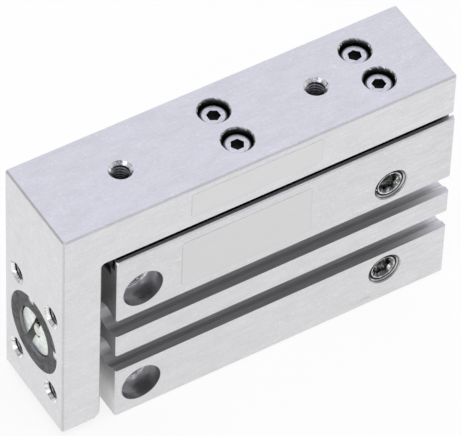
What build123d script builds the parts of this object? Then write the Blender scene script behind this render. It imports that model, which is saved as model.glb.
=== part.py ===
import os
from math import sqrt

from build123d import *

# Pneumatic slide table, millimetres. X runs along the stroke with the yoke at -X, Y across the
# housing with the sensor slots at -Y, Z up. The origin is the bottom centre of the retracted slide.

# Cylinder
stroke = 20.0
bore_diameter = 6.0
rod_diameter = 3.0
piston_length = 8.5
bearing_length = 11.55
end_seat_step = 0.4
end_seat_depth = 4.0
rod_tip_chamfer = 0.2
spigot_shoulder = 0.5
magnet_length = 2.2
magnet_side_gap = 0.32
magnet_chamfer = 0.1

# End cushions
bumper_thickness = 1.0
bumper_pocket_depth = 0.8
bumper_side_gap = 0.7
bumper_rod_clearance = 0.3
rear_bumper_bore_diameter = 1.5
bumper_chamfer = 0.2

# Running and seating clearances in the cylinder
stop_clearance = 0.05
piston_clearance = 0.08
seal_clearance = 0.03
rod_clearance = 0.04
seat_clearance = 0.02

# Retaining rings and their grooves
ring_thickness = 0.6
ring_groove_step = 0.25
ring_land = 0.6
ring_lip = 0.7
ring_gap_width = 1.6
ring_lug_diameter = 1.3
ring_lug_inset = 0.2
ring_lug_hole_diameter = 0.5

# O-rings and lip seals
seal_section = 0.8
rod_seal_length = 1.6
rod_seal_wall = 0.9
rod_seal_lip = 0.3
piston_seal_length = 1.1

# Housing, an extruded block
housing_width = 15.5
housing_edge_chamfer = 0.2

# Sensor slots on the near side
slot_pitch = 7.0
slot_mouth = 3.15
slot_lip = 1.0
slot_undercut = 0.625

# Air ports, two thread pairs near the rear end
port_slot_wall = 0.7
port_from_rear = 9.8
port_core_diameter = 4.2
port_mouth_step = 0.5
port_thread_depth = 6.2
port_link_diameter = 2.0
plug_length = 4.0
plug_recess = 0.35
plug_clearance = 0.01
plug_socket_size = 2.5
plug_socket_depth = 2.2
plug_rim_chamfer = 0.2
plug_rim_land = 0.15
plug_bowl_step = 0.05
duct_diameter = 1.2
duct_ball_step = 0.2
duct_ball_recess = 0.3

# Mounting bores through the housing near the yoke
mount_bore_slot_wall = 0.8
mount_bore_base_wall = 1.8
mount_bore_roof_wall = 0.4
mount_bore_from_front = 4.0
mount_bore_diameter = 3.3
mount_counterbore_diameter = 6.0
mount_counterbore_depth = 3.4

# Table and yoke, one L-shaped piece
table_thickness = 7.3
table_side_setback = 0.15
table_gap = 0.95
table_edge_chamfer = 0.25
yoke_thickness = 5.9
yoke_gap = 2.2
yoke_foot_gap = 1.15
yoke_heel_chamfer = 0.8
rear_overhang = 0.2
inside_corner_radius = 0.5

# Threaded holes for the load
thread_core_diameter = 2.5
thread_mouth_step = 0.45
table_thread_from_face = 13.0
table_thread_spacing = 30.0
table_thread_floor = 1.3
yoke_thread_side_margin = 3.1
yoke_thread_height = 15.0

# Carriage screws, sunk in the table, the rear row behind the rear load thread
screw_row_behind_thread = 8.0
screw_row_spacing = 22.0
screw_pair_spacing = 6.0
screw_head_diameter = 3.8
screw_head_height = 2.0
screw_head_recess = 0.9
screw_head_clearance = 0.25
screw_head_fillet = 0.3
screw_shank_diameter = 2.0
screw_hole_clearance = 0.1
screw_tip_clearance = 0.15
screw_socket_size = 1.75
screw_socket_depth = 1.1
screw_socket_turns = (0, 30, 30, 12)
screw_mouth_chamfer = 0.2

# Ball guide between table and housing
channel_wall = 0.7
channel_shelf_depth = 1.9
trough_wall = 1.65
trough_depth = 3.5
leg_side_clearance = 0.3
leg_floor_clearance = 0.2
leg_thickness = 1.3
guide_gap = 0.6
guide_running_gap = 0.25
guide_edge_chamfer = 0.12
carriage_side_clearance = 0.35
carriage_web_thickness = 1.75
rail_end_gap = 0.4
rail_screw_head_diameter = 3.6
rail_screw_length = 5.0
rail_screw_count = 3
rail_screw_inset = 8.0
rail_thread_runout = 0.8
ball_diameter = 1.0
ball_groove_clearance = 0.04
ball_pitch = 3.6
cage_thickness = 0.26
cage_edge_gap = 0.275
cage_clearance = 0.05

# Rod coupling in the yoke
ring_nut_bore_diameter = 7.5
ring_nut_wall = 2.25
ring_nut_thickness = 2.6
ring_nut_notch_width = 1.2
ring_nut_notch_depth = 0.8
ring_nut_notch_turn = 7.5
rod_end_flange_step = 1.1
rod_end_flange_thickness = 1.3
rod_end_recess = 0.4
rod_end_chamfer = 0.1
rod_end_slot_width = 1.3
rod_end_slot_depth = 1.4
rod_end_slot_angle = 22.5
rod_end_slot_offset = 0.45
rod_tip_recess = 0.5
coupling_clearance = 0.15
coupling_side_play = 0.5
rod_yoke_clearance = 0.4

# Sizes across the housing
slot_bore_diameter = slot_mouth + 2 * slot_undercut
port_mouth_diameter = port_core_diameter + 2 * port_mouth_step
port_spacing = slot_pitch + slot_bore_diameter + 2 * port_slot_wall + port_core_diameter
mount_bore_spacing = (
    slot_pitch + slot_bore_diameter + 2 * mount_bore_slot_wall + mount_counterbore_diameter
)
mount_bore_reach = (mount_bore_spacing + mount_counterbore_diameter) / 2
table_width = housing_width - 2 * table_side_setback
rail_width = housing_width - 2 * (trough_wall + leg_side_clearance + leg_thickness + guide_gap)
carriage_width = housing_width - 2 * (channel_wall + carriage_side_clearance)

# Places along Z, upwards
cylinder_axis_height = mount_bore_base_wall + mount_bore_reach
upper_port_z = cylinder_axis_height + port_spacing / 2
lower_port_z = cylinder_axis_height - port_spacing / 2
trough_floor = cylinder_axis_height + mount_bore_reach + mount_bore_roof_wall
housing_height = trough_floor + trough_depth
table_underside = housing_height + table_gap
table_top = table_underside + table_thickness
web_bottom = table_underside - carriage_web_thickness
rail_top = web_bottom - guide_running_gap
rail_height = rail_top - trough_floor
ball_centre_z = trough_floor + rail_height / 2
screw_seat_z = table_top - screw_head_recess - screw_head_height

# Diameters of what closes and runs in the cylinder
end_seat_diameter = bore_diameter + 2 * end_seat_step
ring_groove_diameter = end_seat_diameter + 2 * ring_groove_step
ring_inner_diameter = end_seat_diameter - 2 * ring_lip
bumper_outer_diameter = bore_diameter - 2 * bumper_side_gap
rod_seal_outer_diameter = rod_diameter + 2 * rod_seal_wall
piston_diameter = bore_diameter - 2 * piston_clearance
magnet_outer_diameter = piston_diameter - 2 * magnet_side_gap
spigot_diameter = rod_diameter - 2 * spigot_shoulder
duct_ball_diameter = duct_diameter + 2 * duct_ball_step

# Diameters of the rod coupling
ring_nut_diameter = ring_nut_bore_diameter + 2 * ring_nut_wall
rod_end_head_diameter = ring_nut_bore_diameter - 2 * coupling_clearance
rod_end_flange_diameter = rod_end_head_diameter + 2 * rod_end_flange_step
coupling_pocket_diameter = rod_end_flange_diameter + 2 * coupling_side_play

# The cylinder sets the housing's length: front ring, bearing, bumper, stroke, piston, bumper,
# and the rear end from the port on
end_ring_room = ring_land + ring_thickness
cap_face_from_rear = port_from_rear - duct_diameter / 2 - stop_clearance
housing_length = (
    end_ring_room
    + bearing_length
    + bumper_thickness
    + stop_clearance
    + stroke
    + piston_length
    + stop_clearance
    + bumper_thickness
    + cap_face_from_rear
)
table_length = yoke_thickness + yoke_gap + housing_length - rear_overhang

# Places along X, from the yoke to the rear
overall_length = table_length + rear_overhang
yoke_face_x = -overall_length / 2
yoke_back_x = yoke_face_x + yoke_thickness
table_rear_x = yoke_face_x + table_length
table_thread_x = yoke_face_x + table_thread_from_face + table_thread_spacing / 2
screw_row_x = (
    table_thread_x + table_thread_spacing / 2 + screw_row_behind_thread - screw_row_spacing / 2
)
housing_front_x = yoke_back_x + yoke_gap
housing_rear_x = table_rear_x + rear_overhang
mount_bore_x = housing_front_x + mount_bore_from_front
port_x = housing_rear_x - port_from_rear
rod_end_x = yoke_face_x + rod_end_recess
rod_tip_x = yoke_face_x + rod_tip_recess
flange_front_x = yoke_face_x + ring_nut_thickness + coupling_clearance / 2
flange_rear_x = flange_front_x + rod_end_flange_thickness
bearing_front_x = housing_front_x + end_ring_room
bearing_rear_x = bearing_front_x + bearing_length
front_duct_x = bearing_rear_x + bumper_thickness / 2
piston_front_x = bearing_rear_x + bumper_thickness + stop_clearance + stroke
piston_rear_x = piston_front_x + piston_length
rear_cap_face_x = housing_rear_x - cap_face_from_rear
rear_cap_rear_x = housing_rear_x - end_ring_room

cylinder_axis = Axis((0, 0, cylinder_axis_height), (1, 0, 0))
# Half sections of the turned pieces are drawn on this plane: X along it, radius up
cylinder_plane = Plane(origin=(0, 0, cylinder_axis_height), x_dir=(1, 0, 0), z_dir=(0, -1, 0))


def section_plane(x):
    """Cross-section at x, its own origin on the cylinder axis, local x along Y and y along Z."""
    return Plane(origin=(x, 0, cylinder_axis_height), x_dir=(0, 1, 0), z_dir=(1, 0, 0))


def side_plane(x, side):
    """Side of the housing at x and at the axis height, near for side -1 and far for side 1."""
    return Plane(
        origin=(x, side * housing_width / 2, cylinder_axis_height),
        x_dir=(-side, 0, 0),
        z_dir=(0, side, 0),
    )


def turned_ring(start_x, length, outer_diameter, inner_diameter, rim_chamfer):
    """A ring turned about the cylinder axis, its two outer rims chamfered."""
    with BuildPart() as ring:
        with BuildSketch(section_plane(start_x)):
            Circle(outer_diameter / 2)
            Circle(inner_diameter / 2, mode=Mode.SUBTRACT)
        extrude(amount=length)
        rims = ring.edges().filter_by(GeomType.CIRCLE).group_by(SortBy.RADIUS)[-1]
        chamfer(rims, rim_chamfer)
    return ring


def seal_ring(centre_x, section, inner_diameter):
    """A round-section rubber ring about the cylinder axis."""
    with BuildPart() as seal:
        with BuildSketch(cylinder_plane):
            with Locations((centre_x, (inner_diameter + section) / 2)):
                Circle(section / 2)
        revolve(axis=cylinder_axis)
    return seal


def retaining_ring(start_x):
    """A spring ring in its groove, open at the top, with a drilled lug on each side of the opening."""
    lug_spacing = ring_gap_width + ring_lug_diameter
    with BuildPart() as ring:
        with BuildSketch(section_plane(start_x)):
            Circle(ring_groove_diameter / 2 - seat_clearance)
            Circle(ring_inner_diameter / 2, mode=Mode.SUBTRACT)
            with Locations((0, ring_inner_diameter / 2 - ring_lug_inset)):
                with GridLocations(lug_spacing, 0, 2, 1):
                    Circle(ring_lug_diameter / 2)
                    Circle(ring_lug_hole_diameter / 2, mode=Mode.SUBTRACT)
                Rectangle(ring_gap_width, ring_groove_diameter / 2, mode=Mode.SUBTRACT)
        extrude(amount=ring_thickness)
    return ring


# The housing is one extruded section: block, guide channel and the two sensor slots
slot_centre_depth = slot_lip + sqrt((slot_bore_diameter / 2) ** 2 - (slot_mouth / 2) ** 2)
with BuildPart() as housing:
    with BuildSketch(Plane.YZ.offset(housing_front_x)) as housing_section:
        with Locations((0, housing_height / 2)):
            Rectangle(housing_width, housing_height)
        chamfer(housing_section.vertices(), housing_edge_chamfer)
        with Locations((0, housing_height)):
            Rectangle(
                housing_width - 2 * channel_wall,
                2 * channel_shelf_depth,
                mode=Mode.SUBTRACT,
            )
            Rectangle(housing_width - 2 * trough_wall, 2 * trough_depth, mode=Mode.SUBTRACT)
        with Locations((-housing_width / 2, cylinder_axis_height)):
            with GridLocations(0, slot_pitch, 1, 2):
                Rectangle(2 * slot_centre_depth, slot_mouth, mode=Mode.SUBTRACT)
                with Locations((slot_centre_depth, 0)):
                    Circle(slot_bore_diameter / 2, mode=Mode.SUBTRACT)
    extrude(amount=housing_length)
    end_edges = housing.faces().filter_by(Axis.X).edges()
    outer_end_edges = end_edges.filter_by(
        lambda edge: abs(edge.center().Y) > housing_width / 2 - housing_edge_chamfer
        or edge.center().Z < housing_edge_chamfer
    )
    chamfer(outer_end_edges, housing_edge_chamfer)

    # Cylinder bore with a wider seat and a ring groove at each end
    with BuildSketch(section_plane(housing_front_x)):
        Circle(bore_diameter / 2)
    extrude(amount=housing_length, mode=Mode.SUBTRACT)
    for seat_start, groove_start in (
        (housing_front_x, housing_front_x + ring_land),
        (housing_rear_x - end_seat_depth, rear_cap_rear_x),
    ):
        with BuildSketch(section_plane(seat_start)):
            Circle(end_seat_diameter / 2)
        extrude(amount=end_seat_depth, mode=Mode.SUBTRACT)
        with BuildSketch(section_plane(groove_start)):
            Circle(ring_groove_diameter / 2)
        extrude(amount=ring_thickness, mode=Mode.SUBTRACT)

    # Mounting bores, counterbored from the near side
    with Locations(side_plane(mount_bore_x, -1)):
        with GridLocations(0, mount_bore_spacing, 1, 2):
            CounterBoreHole(
                mount_bore_diameter / 2,
                mount_counterbore_diameter / 2,
                mount_counterbore_depth,
            )

    # Port threads in both sides, each pair joined by a narrower drilling
    for side in (-1, 1):
        with Locations(side_plane(port_x, side)):
            with GridLocations(0, port_spacing, 1, 2):
                CounterSinkHole(
                    port_core_diameter / 2,
                    port_mouth_diameter / 2,
                    port_thread_depth,
                    counter_sink_angle=90,
                )
    with Locations(side_plane(port_x, 1)):
        with GridLocations(0, port_spacing, 1, 2):
            Hole(port_link_diameter / 2, housing_width - port_thread_depth)

    # Air ducts: a long one from the rear face to the front chamber, drilled down into the bore,
    # and a short one from the base through the lower port into the rear chamber
    long_duct_start_x = front_duct_x - duct_diameter / 2
    with BuildSketch(Plane.YZ.offset(long_duct_start_x)):
        with Locations((0, upper_port_z)):
            Circle(duct_diameter / 2)
    extrude(amount=housing_rear_x - long_duct_start_x, mode=Mode.SUBTRACT)
    with BuildSketch(Plane.XY.offset(cylinder_axis_height)):
        with Locations((front_duct_x, 0)):
            Circle(duct_diameter / 2)
    extrude(amount=trough_floor - cylinder_axis_height, mode=Mode.SUBTRACT)
    with BuildSketch(Plane.XY):
        with Locations((port_x, 0)):
            Circle(duct_diameter / 2)
    extrude(amount=cylinder_axis_height, mode=Mode.SUBTRACT)

    # Seats of the balls that close the ducts
    duct_seat_depth = duct_ball_diameter + duct_ball_recess
    with BuildSketch(Plane.YZ.offset(housing_rear_x - duct_seat_depth)):
        with Locations((0, upper_port_z)):
            Circle(duct_ball_diameter / 2 + seat_clearance)
    extrude(amount=duct_seat_depth, mode=Mode.SUBTRACT)
    with BuildSketch(Plane.XY.offset(trough_floor - duct_seat_depth)):
        with Locations((front_duct_x, 0)):
            Circle(duct_ball_diameter / 2 + seat_clearance)
    extrude(amount=duct_seat_depth, mode=Mode.SUBTRACT)
    with BuildSketch(Plane.XY):
        with Locations((port_x, 0)):
            Circle(duct_ball_diameter / 2 + seat_clearance)
    extrude(amount=duct_seat_depth, mode=Mode.SUBTRACT)

    # Threads for the rail screws
    rail_front_x = housing_front_x + rail_end_gap
    rail_length = housing_length - 2 * rail_end_gap
    rail_centre_x = rail_front_x + rail_length / 2
    rail_screw_pitch = (rail_length - 2 * rail_screw_inset) / (rail_screw_count - 1)
    rail_thread_depth = rail_screw_length - rail_height + rail_thread_runout
    with Locations((rail_centre_x, 0, trough_floor)):
        with GridLocations(rail_screw_pitch, 0, rail_screw_count, 1):
            Hole(screw_shank_diameter / 2, rail_thread_depth)

# The table and yoke are one L, drawn from the side
with BuildPart() as table:
    with BuildSketch(Plane.XZ.offset(-table_width / 2)) as table_profile:
        with BuildLine():
            Polyline(
                (yoke_face_x, yoke_foot_gap),
                (yoke_back_x, yoke_foot_gap),
                (yoke_back_x, table_underside),
                (table_rear_x, table_underside),
                (table_rear_x, table_top),
                (yoke_face_x, table_top),
                close=True,
            )
        make_face()
        for corner, cut, size in (
            ((yoke_back_x, table_underside), fillet, inside_corner_radius),
            ((yoke_back_x, yoke_foot_gap), chamfer, yoke_heel_chamfer),
            ((yoke_face_x, yoke_foot_gap), chamfer, table_edge_chamfer),
            ((yoke_face_x, table_top), chamfer, table_edge_chamfer),
            ((table_rear_x, table_top), chamfer, table_edge_chamfer),
            ((table_rear_x, table_underside), chamfer, table_edge_chamfer),
        ):
            cut(table_profile.vertices().sort_by_distance(corner)[0], size)
    extrude(amount=table_width)

    # Counterbored holes for the carriage screws
    with Locations((screw_row_x, 0, table_top)):
        with GridLocations(screw_row_spacing, screw_pair_spacing, 2, 2):
            CounterBoreHole(
                screw_shank_diameter / 2 + screw_hole_clearance,
                screw_head_diameter / 2 + screw_head_clearance,
                table_top - screw_seat_z,
            )

    # Threaded holes for the load, two in the table and four through the yoke
    thread_mouth_diameter = thread_core_diameter + 2 * thread_mouth_step
    with Locations((table_thread_x, 0, table_top)):
        with GridLocations(table_thread_spacing, 0, 2, 1):
            CounterSinkHole(
                thread_core_diameter / 2,
                thread_mouth_diameter / 2,
                table_thickness - table_thread_floor,
                counter_sink_angle=90,
            )
    yoke_thread_width = table_width - 2 * yoke_thread_side_margin
    yoke_front = Plane(
        origin=(yoke_face_x, 0, cylinder_axis_height), x_dir=(0, -1, 0), z_dir=(-1, 0, 0)
    )
    with Locations(yoke_front):
        with GridLocations(yoke_thread_width, yoke_thread_height, 2, 2):
            CounterSinkHole(
                thread_core_diameter / 2,
                thread_mouth_diameter / 2,
                yoke_thickness,
                counter_sink_angle=90,
            )

    # Stepped seat of the rod coupling: ring nut thread, flange pocket, hole for the rod
    coupling_pocket_depth = ring_nut_thickness + rod_end_flange_thickness + coupling_clearance
    for seat_diameter, seat_depth in (
        (ring_nut_diameter + 2 * seat_clearance, ring_nut_thickness),
        (coupling_pocket_diameter, coupling_pocket_depth),
        (rod_diameter + 2 * rod_yoke_clearance, yoke_thickness),
    ):
        with BuildSketch(section_plane(yoke_face_x)):
            Circle(seat_diameter / 2)
        extrude(amount=seat_depth, mode=Mode.SUBTRACT)

    # Small chamfers on the counterbore mouths and round both side faces
    top_rims = table.edges().filter_by(GeomType.CIRCLE).group_by(Axis.Z)[-1]
    chamfer(top_rims.group_by(SortBy.RADIUS)[-1], screw_mouth_chamfer)
    side_faces = table.faces().filter_by(Axis.Y).sort_by(Axis.Y)
    for side_face in (side_faces[0], side_faces[-1]):
        chamfer(side_face.outer_wire().edges(), table_edge_chamfer)

# Steel carriage under the table: a web with a leg down each side, grooved for the balls
leg_bottom = trough_floor + leg_floor_clearance
leg_spacing = rail_width + 2 * guide_gap + leg_thickness
ball_row_spacing = rail_width + guide_gap
ball_groove_radius = ball_diameter / 2 + ball_groove_clearance
with BuildPart() as carriage:
    with BuildSketch(Plane.YZ.offset(rail_front_x)) as carriage_section:
        with Locations((0, web_bottom + carriage_web_thickness / 2)):
            Rectangle(carriage_width, carriage_web_thickness)
        with Locations((0, (web_bottom + leg_bottom) / 2)):
            with GridLocations(leg_spacing, 0, 2, 1):
                Rectangle(leg_thickness, web_bottom - leg_bottom)
        chamfer(carriage_section.vertices(), guide_edge_chamfer)
        with Locations((0, ball_centre_z)):
            with GridLocations(ball_row_spacing, 0, 2, 1):
                Circle(ball_groove_radius, mode=Mode.SUBTRACT)
    extrude(amount=rail_length)
    with BuildSketch(Plane.XY.offset(table_underside)):
        with Locations((screw_row_x, 0)):
            with GridLocations(screw_row_spacing, screw_pair_spacing, 2, 2):
                Circle(screw_shank_diameter / 2 + seat_clearance)
    extrude(amount=-carriage_web_thickness, mode=Mode.SUBTRACT)

# Fixed rail in the trough, grooved on both sides, with countersunk screw holes
with BuildPart() as guide_rail:
    with BuildSketch(Plane.YZ.offset(rail_front_x)) as rail_section:
        with Locations((0, trough_floor + rail_height / 2)):
            Rectangle(rail_width, rail_height)
        chamfer(rail_section.vertices(), guide_edge_chamfer)
        with Locations((0, ball_centre_z)):
            with GridLocations(ball_row_spacing, 0, 2, 1):
                Circle(ball_groove_radius, mode=Mode.SUBTRACT)
    extrude(amount=rail_length)
    with Locations((rail_centre_x, 0, rail_top)):
        with GridLocations(rail_screw_pitch, 0, rail_screw_count, 1):
            CounterSinkHole(
                screw_shank_diameter / 2 + seat_clearance,
                rail_screw_head_diameter / 2 + seat_clearance,
                rail_height,
                counter_sink_angle=90,
            )

# Countersunk rail screws, flush with the rail
rail_screw_head_height = (rail_screw_head_diameter - screw_shank_diameter) / 2
with BuildPart() as guide_rail_screws:
    with BuildSketch(Plane.XY.offset(rail_top - rail_screw_length)):
        with Locations((rail_centre_x, 0)):
            with GridLocations(rail_screw_pitch, 0, rail_screw_count, 1):
                Circle(screw_shank_diameter / 2 - seat_clearance)
    extrude(amount=rail_screw_length)
    with BuildSketch(Plane.XY.offset(rail_top)):
        with Locations((rail_centre_x, 0)):
            with GridLocations(rail_screw_pitch, 0, rail_screw_count, 1):
                Circle(rail_screw_head_diameter / 2 - seat_clearance)
    extrude(amount=-rail_screw_head_height, taper=45)
    with BuildSketch(Plane.XY.offset(rail_top)):
        with Locations((rail_centre_x, 0)):
            with GridLocations(rail_screw_pitch, 0, rail_screw_count, 1):
                RegularPolygon(screw_socket_size / sqrt(3), 6)
    extrude(amount=-screw_socket_depth, mode=Mode.SUBTRACT)

# Four socket head cap screws between table and carriage
screw_tip_z = web_bottom + screw_tip_clearance
screw_places = [
    (screw_row_x + along * screw_row_spacing / 2, across * screw_pair_spacing / 2)
    for along in (-1, 1)
    for across in (-1, 1)
]
with BuildPart() as carriage_screws:
    with BuildSketch(Plane.XY.offset(screw_seat_z)):
        with Locations(screw_places):
            Circle(screw_head_diameter / 2)
    extrude(amount=screw_head_height)
    head_rims = carriage_screws.edges().filter_by(GeomType.CIRCLE).group_by(Axis.Z)[-1]
    fillet(head_rims, screw_head_fillet)
    with BuildSketch(Plane.XY.offset(screw_tip_z)):
        with Locations(screw_places):
            Circle(screw_shank_diameter / 2)
    extrude(amount=screw_seat_z - screw_tip_z)
    with BuildSketch(Plane.XY.offset(screw_seat_z + screw_head_height)):
        for screw_place, socket_turn in zip(screw_places, screw_socket_turns):
            with Locations(screw_place):
                RegularPolygon(screw_socket_size / sqrt(3), 6, rotation=socket_turn)
    extrude(amount=-screw_socket_depth, mode=Mode.SUBTRACT)

# Cage strips and balls: as long as the overlap of rail and carriage leaves room for, and half
# a stroke behind the front end, because a cage travels half as far as the table
cage_length = rail_length - stroke
cage_height = rail_height - 2 * cage_edge_gap
ball_row_x = rail_front_x + stroke / 2 + cage_length / 2
ball_count = int((cage_length - ball_diameter) // ball_pitch)
cages = []
balls = []
for side in (-1, 1):
    row_centre = (ball_row_x, side * ball_row_spacing / 2, ball_centre_z)
    row_plane = Plane(origin=row_centre, x_dir=(1, 0, 0), z_dir=(0, -1, 0))
    with BuildPart() as cage:
        with BuildSketch(row_plane.offset(-cage_thickness / 2)):
            Rectangle(cage_length, cage_height)
            with GridLocations(ball_pitch, 0, ball_count, 1):
                Circle(ball_diameter / 2 + cage_clearance, mode=Mode.SUBTRACT)
        extrude(amount=cage_thickness)
    cages.append(cage)
    with BuildPart() as ball_row:
        with Locations(row_centre):
            with GridLocations(ball_pitch, 0, ball_count, 1):
                Sphere(ball_diameter / 2)
    balls.append(ball_row)

# O-rings between the bore and the pieces that close it
seal_inner_diameter = bore_diameter - 2 * seat_clearance - 2 * seal_section
seal_groove_depth = seal_section + 2 * seat_clearance
seal_groove_width = seal_section + 2 * seal_clearance
bearing_seal_x = bearing_rear_x - bumper_pocket_depth - seal_section
cap_seal_x = rear_cap_face_x + bumper_pocket_depth + seal_section
plug_radius = bore_diameter / 2 - seat_clearance
plug_head_radius = end_seat_diameter / 2 - seat_clearance

# Rod bearing: a bush with an O-ring outside, a lip seal at its mouth and a bumper pocket inside
with BuildPart() as rod_bearing:
    with BuildSketch(cylinder_plane):
        with BuildLine():
            Polyline(
                (bearing_front_x, rod_diameter / 2 + rod_clearance),
                (bearing_front_x, plug_head_radius),
                (housing_front_x + end_seat_depth, plug_head_radius),
                (housing_front_x + end_seat_depth, plug_radius),
                (bearing_rear_x, plug_radius),
                (bearing_rear_x, rod_diameter / 2 + rod_clearance),
                close=True,
            )
        make_face()
        with Locations((bearing_seal_x, bore_diameter / 2)):
            Rectangle(seal_groove_width, 2 * seal_groove_depth, mode=Mode.SUBTRACT)
        with Locations((bearing_rear_x, 0)):
            Rectangle(2 * bumper_pocket_depth, bumper_outer_diameter, mode=Mode.SUBTRACT)
        with Locations((bearing_front_x, 0)):
            Rectangle(2 * rod_seal_length, rod_seal_outer_diameter, mode=Mode.SUBTRACT)
    revolve(axis=cylinder_axis)
rod_bearing_seal = seal_ring(bearing_seal_x, seal_section, seal_inner_diameter)

# Lip seal on the rod, in the bearing's outer pocket, its lip at the front
rod_seal_rear_x = bearing_front_x + rod_seal_length - seat_clearance
rod_seal_radius = rod_seal_outer_diameter / 2 - seat_clearance
with BuildPart() as rod_seal:
    with BuildSketch(cylinder_plane):
        with BuildLine():
            Polyline(
                (bearing_front_x, rod_diameter / 2 + seal_clearance),
                (bearing_front_x, rod_seal_radius),
                (rod_seal_rear_x, rod_seal_radius),
                (rod_seal_rear_x, rod_diameter / 2 + rod_seal_lip),
                (bearing_front_x + rod_seal_length / 2, rod_diameter / 2 + rod_seal_lip),
                close=True,
            )
        make_face()
    revolve(axis=cylinder_axis)

front_retaining_ring = retaining_ring(housing_front_x + ring_land)
rear_retaining_ring = retaining_ring(rear_cap_rear_x)

# Rear cap: a plug with an O-ring groove and a pocket that holds the rear bumper
with BuildPart() as rear_cap:
    with BuildSketch(cylinder_plane):
        with BuildLine():
            Polyline(
                (rear_cap_face_x, 0),
                (rear_cap_face_x, plug_radius),
                (housing_rear_x - end_seat_depth, plug_radius),
                (housing_rear_x - end_seat_depth, plug_head_radius),
                (rear_cap_rear_x, plug_head_radius),
                (rear_cap_rear_x, 0),
                close=True,
            )
        make_face()
        with Locations((cap_seal_x, bore_diameter / 2)):
            Rectangle(seal_groove_width, 2 * seal_groove_depth, mode=Mode.SUBTRACT)
        with Locations((rear_cap_face_x, 0)):
            Rectangle(2 * bumper_pocket_depth, bumper_outer_diameter, mode=Mode.SUBTRACT)
    revolve(axis=cylinder_axis)
rear_cap_seal = seal_ring(cap_seal_x, seal_section, seal_inner_diameter)

# End cushions, pressed into the pockets of the cap and the bearing
front_bumper = turned_ring(
    bearing_rear_x - bumper_pocket_depth,
    bumper_thickness + bumper_pocket_depth,
    bumper_outer_diameter - 2 * seat_clearance,
    rod_diameter + 2 * bumper_rod_clearance,
    bumper_chamfer,
)
rear_bumper = turned_ring(
    rear_cap_face_x - bumper_thickness,
    bumper_thickness + bumper_pocket_depth,
    bumper_outer_diameter - 2 * seat_clearance,
    rear_bumper_bore_diameter,
    bumper_chamfer,
)

# Piston in two halves that clamp the magnet, each with a seal, on the rod's spigot
half_length = (piston_length - magnet_length) / 2
half_centres = (piston_front_x + half_length / 2, piston_rear_x - half_length / 2)
piston_halves = []
for half_centre_x in half_centres:
    with BuildPart() as piston_half:
        with BuildSketch(cylinder_plane):
            with Locations((half_centre_x, (spigot_diameter + piston_diameter) / 4)):
                Rectangle(half_length, (piston_diameter - spigot_diameter) / 2)
            with Locations((half_centre_x, piston_diameter / 2)):
                Rectangle(
                    piston_seal_length + 2 * seal_clearance,
                    2 * seal_section,
                    mode=Mode.SUBTRACT,
                )
        revolve(axis=cylinder_axis)
    piston_halves.append(piston_half)
piston_magnet = turned_ring(
    piston_front_x + half_length,
    magnet_length,
    magnet_outer_diameter,
    spigot_diameter,
    magnet_chamfer,
)
with BuildPart() as piston_seals:
    with BuildSketch(cylinder_plane):
        for half_centre_x in half_centres:
            with Locations((half_centre_x, (bore_diameter - seal_section) / 2 - seal_clearance)):
                Rectangle(piston_seal_length, seal_section)
    revolve(axis=cylinder_axis)

# Piston rod with a spigot through the rod end and one through the piston
with BuildPart() as piston_rod:
    with BuildSketch(cylinder_plane):
        with BuildLine():
            Polyline(
                (rod_tip_x, 0),
                (rod_tip_x, spigot_diameter / 2 - rod_tip_chamfer),
                (rod_tip_x + rod_tip_chamfer, spigot_diameter / 2),
                (flange_rear_x, spigot_diameter / 2),
                (flange_rear_x, rod_diameter / 2),
                (piston_front_x, rod_diameter / 2),
                (piston_front_x, spigot_diameter / 2),
                (piston_rear_x, spigot_diameter / 2),
                (piston_rear_x, 0),
                close=True,
            )
        make_face()
    revolve(axis=cylinder_axis)

# Rod end: a collar on the rod's front spigot, its flange held behind the ring nut, with a
# screwdriver slot beside the middle
with BuildPart() as rod_end:
    with BuildSketch(cylinder_plane):
        with BuildLine():
            Polyline(
                (rod_end_x, spigot_diameter / 2),
                (rod_end_x, rod_end_head_diameter / 2 - rod_end_chamfer),
                (rod_end_x + rod_end_chamfer, rod_end_head_diameter / 2),
                (flange_front_x, rod_end_head_diameter / 2),
                (flange_front_x, rod_end_flange_diameter / 2),
                (flange_rear_x, rod_end_flange_diameter / 2),
                (flange_rear_x, spigot_diameter / 2),
                close=True,
            )
        make_face()
    revolve(axis=cylinder_axis)
    with BuildSketch(section_plane(rod_end_x)):
        with PolarLocations(rod_end_slot_offset, 1, start_angle=rod_end_slot_angle):
            Rectangle(rod_end_slot_width, rod_end_head_diameter)
        Circle(spigot_diameter / 2, mode=Mode.SUBTRACT)
    extrude(amount=rod_end_slot_depth, mode=Mode.SUBTRACT)

# Ring nut, flush with the yoke, with two spanner notches a quarter turn apart
with BuildPart() as ring_nut:
    with BuildSketch(section_plane(yoke_face_x)):
        Circle(ring_nut_diameter / 2)
        Circle(ring_nut_bore_diameter / 2, mode=Mode.SUBTRACT)
        with PolarLocations(
            ring_nut_diameter / 2, 2, start_angle=90 - ring_nut_notch_turn, angular_range=180
        ):
            Rectangle(2 * ring_nut_notch_depth, ring_nut_notch_width, mode=Mode.SUBTRACT)
    extrude(amount=ring_nut_thickness)

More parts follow.
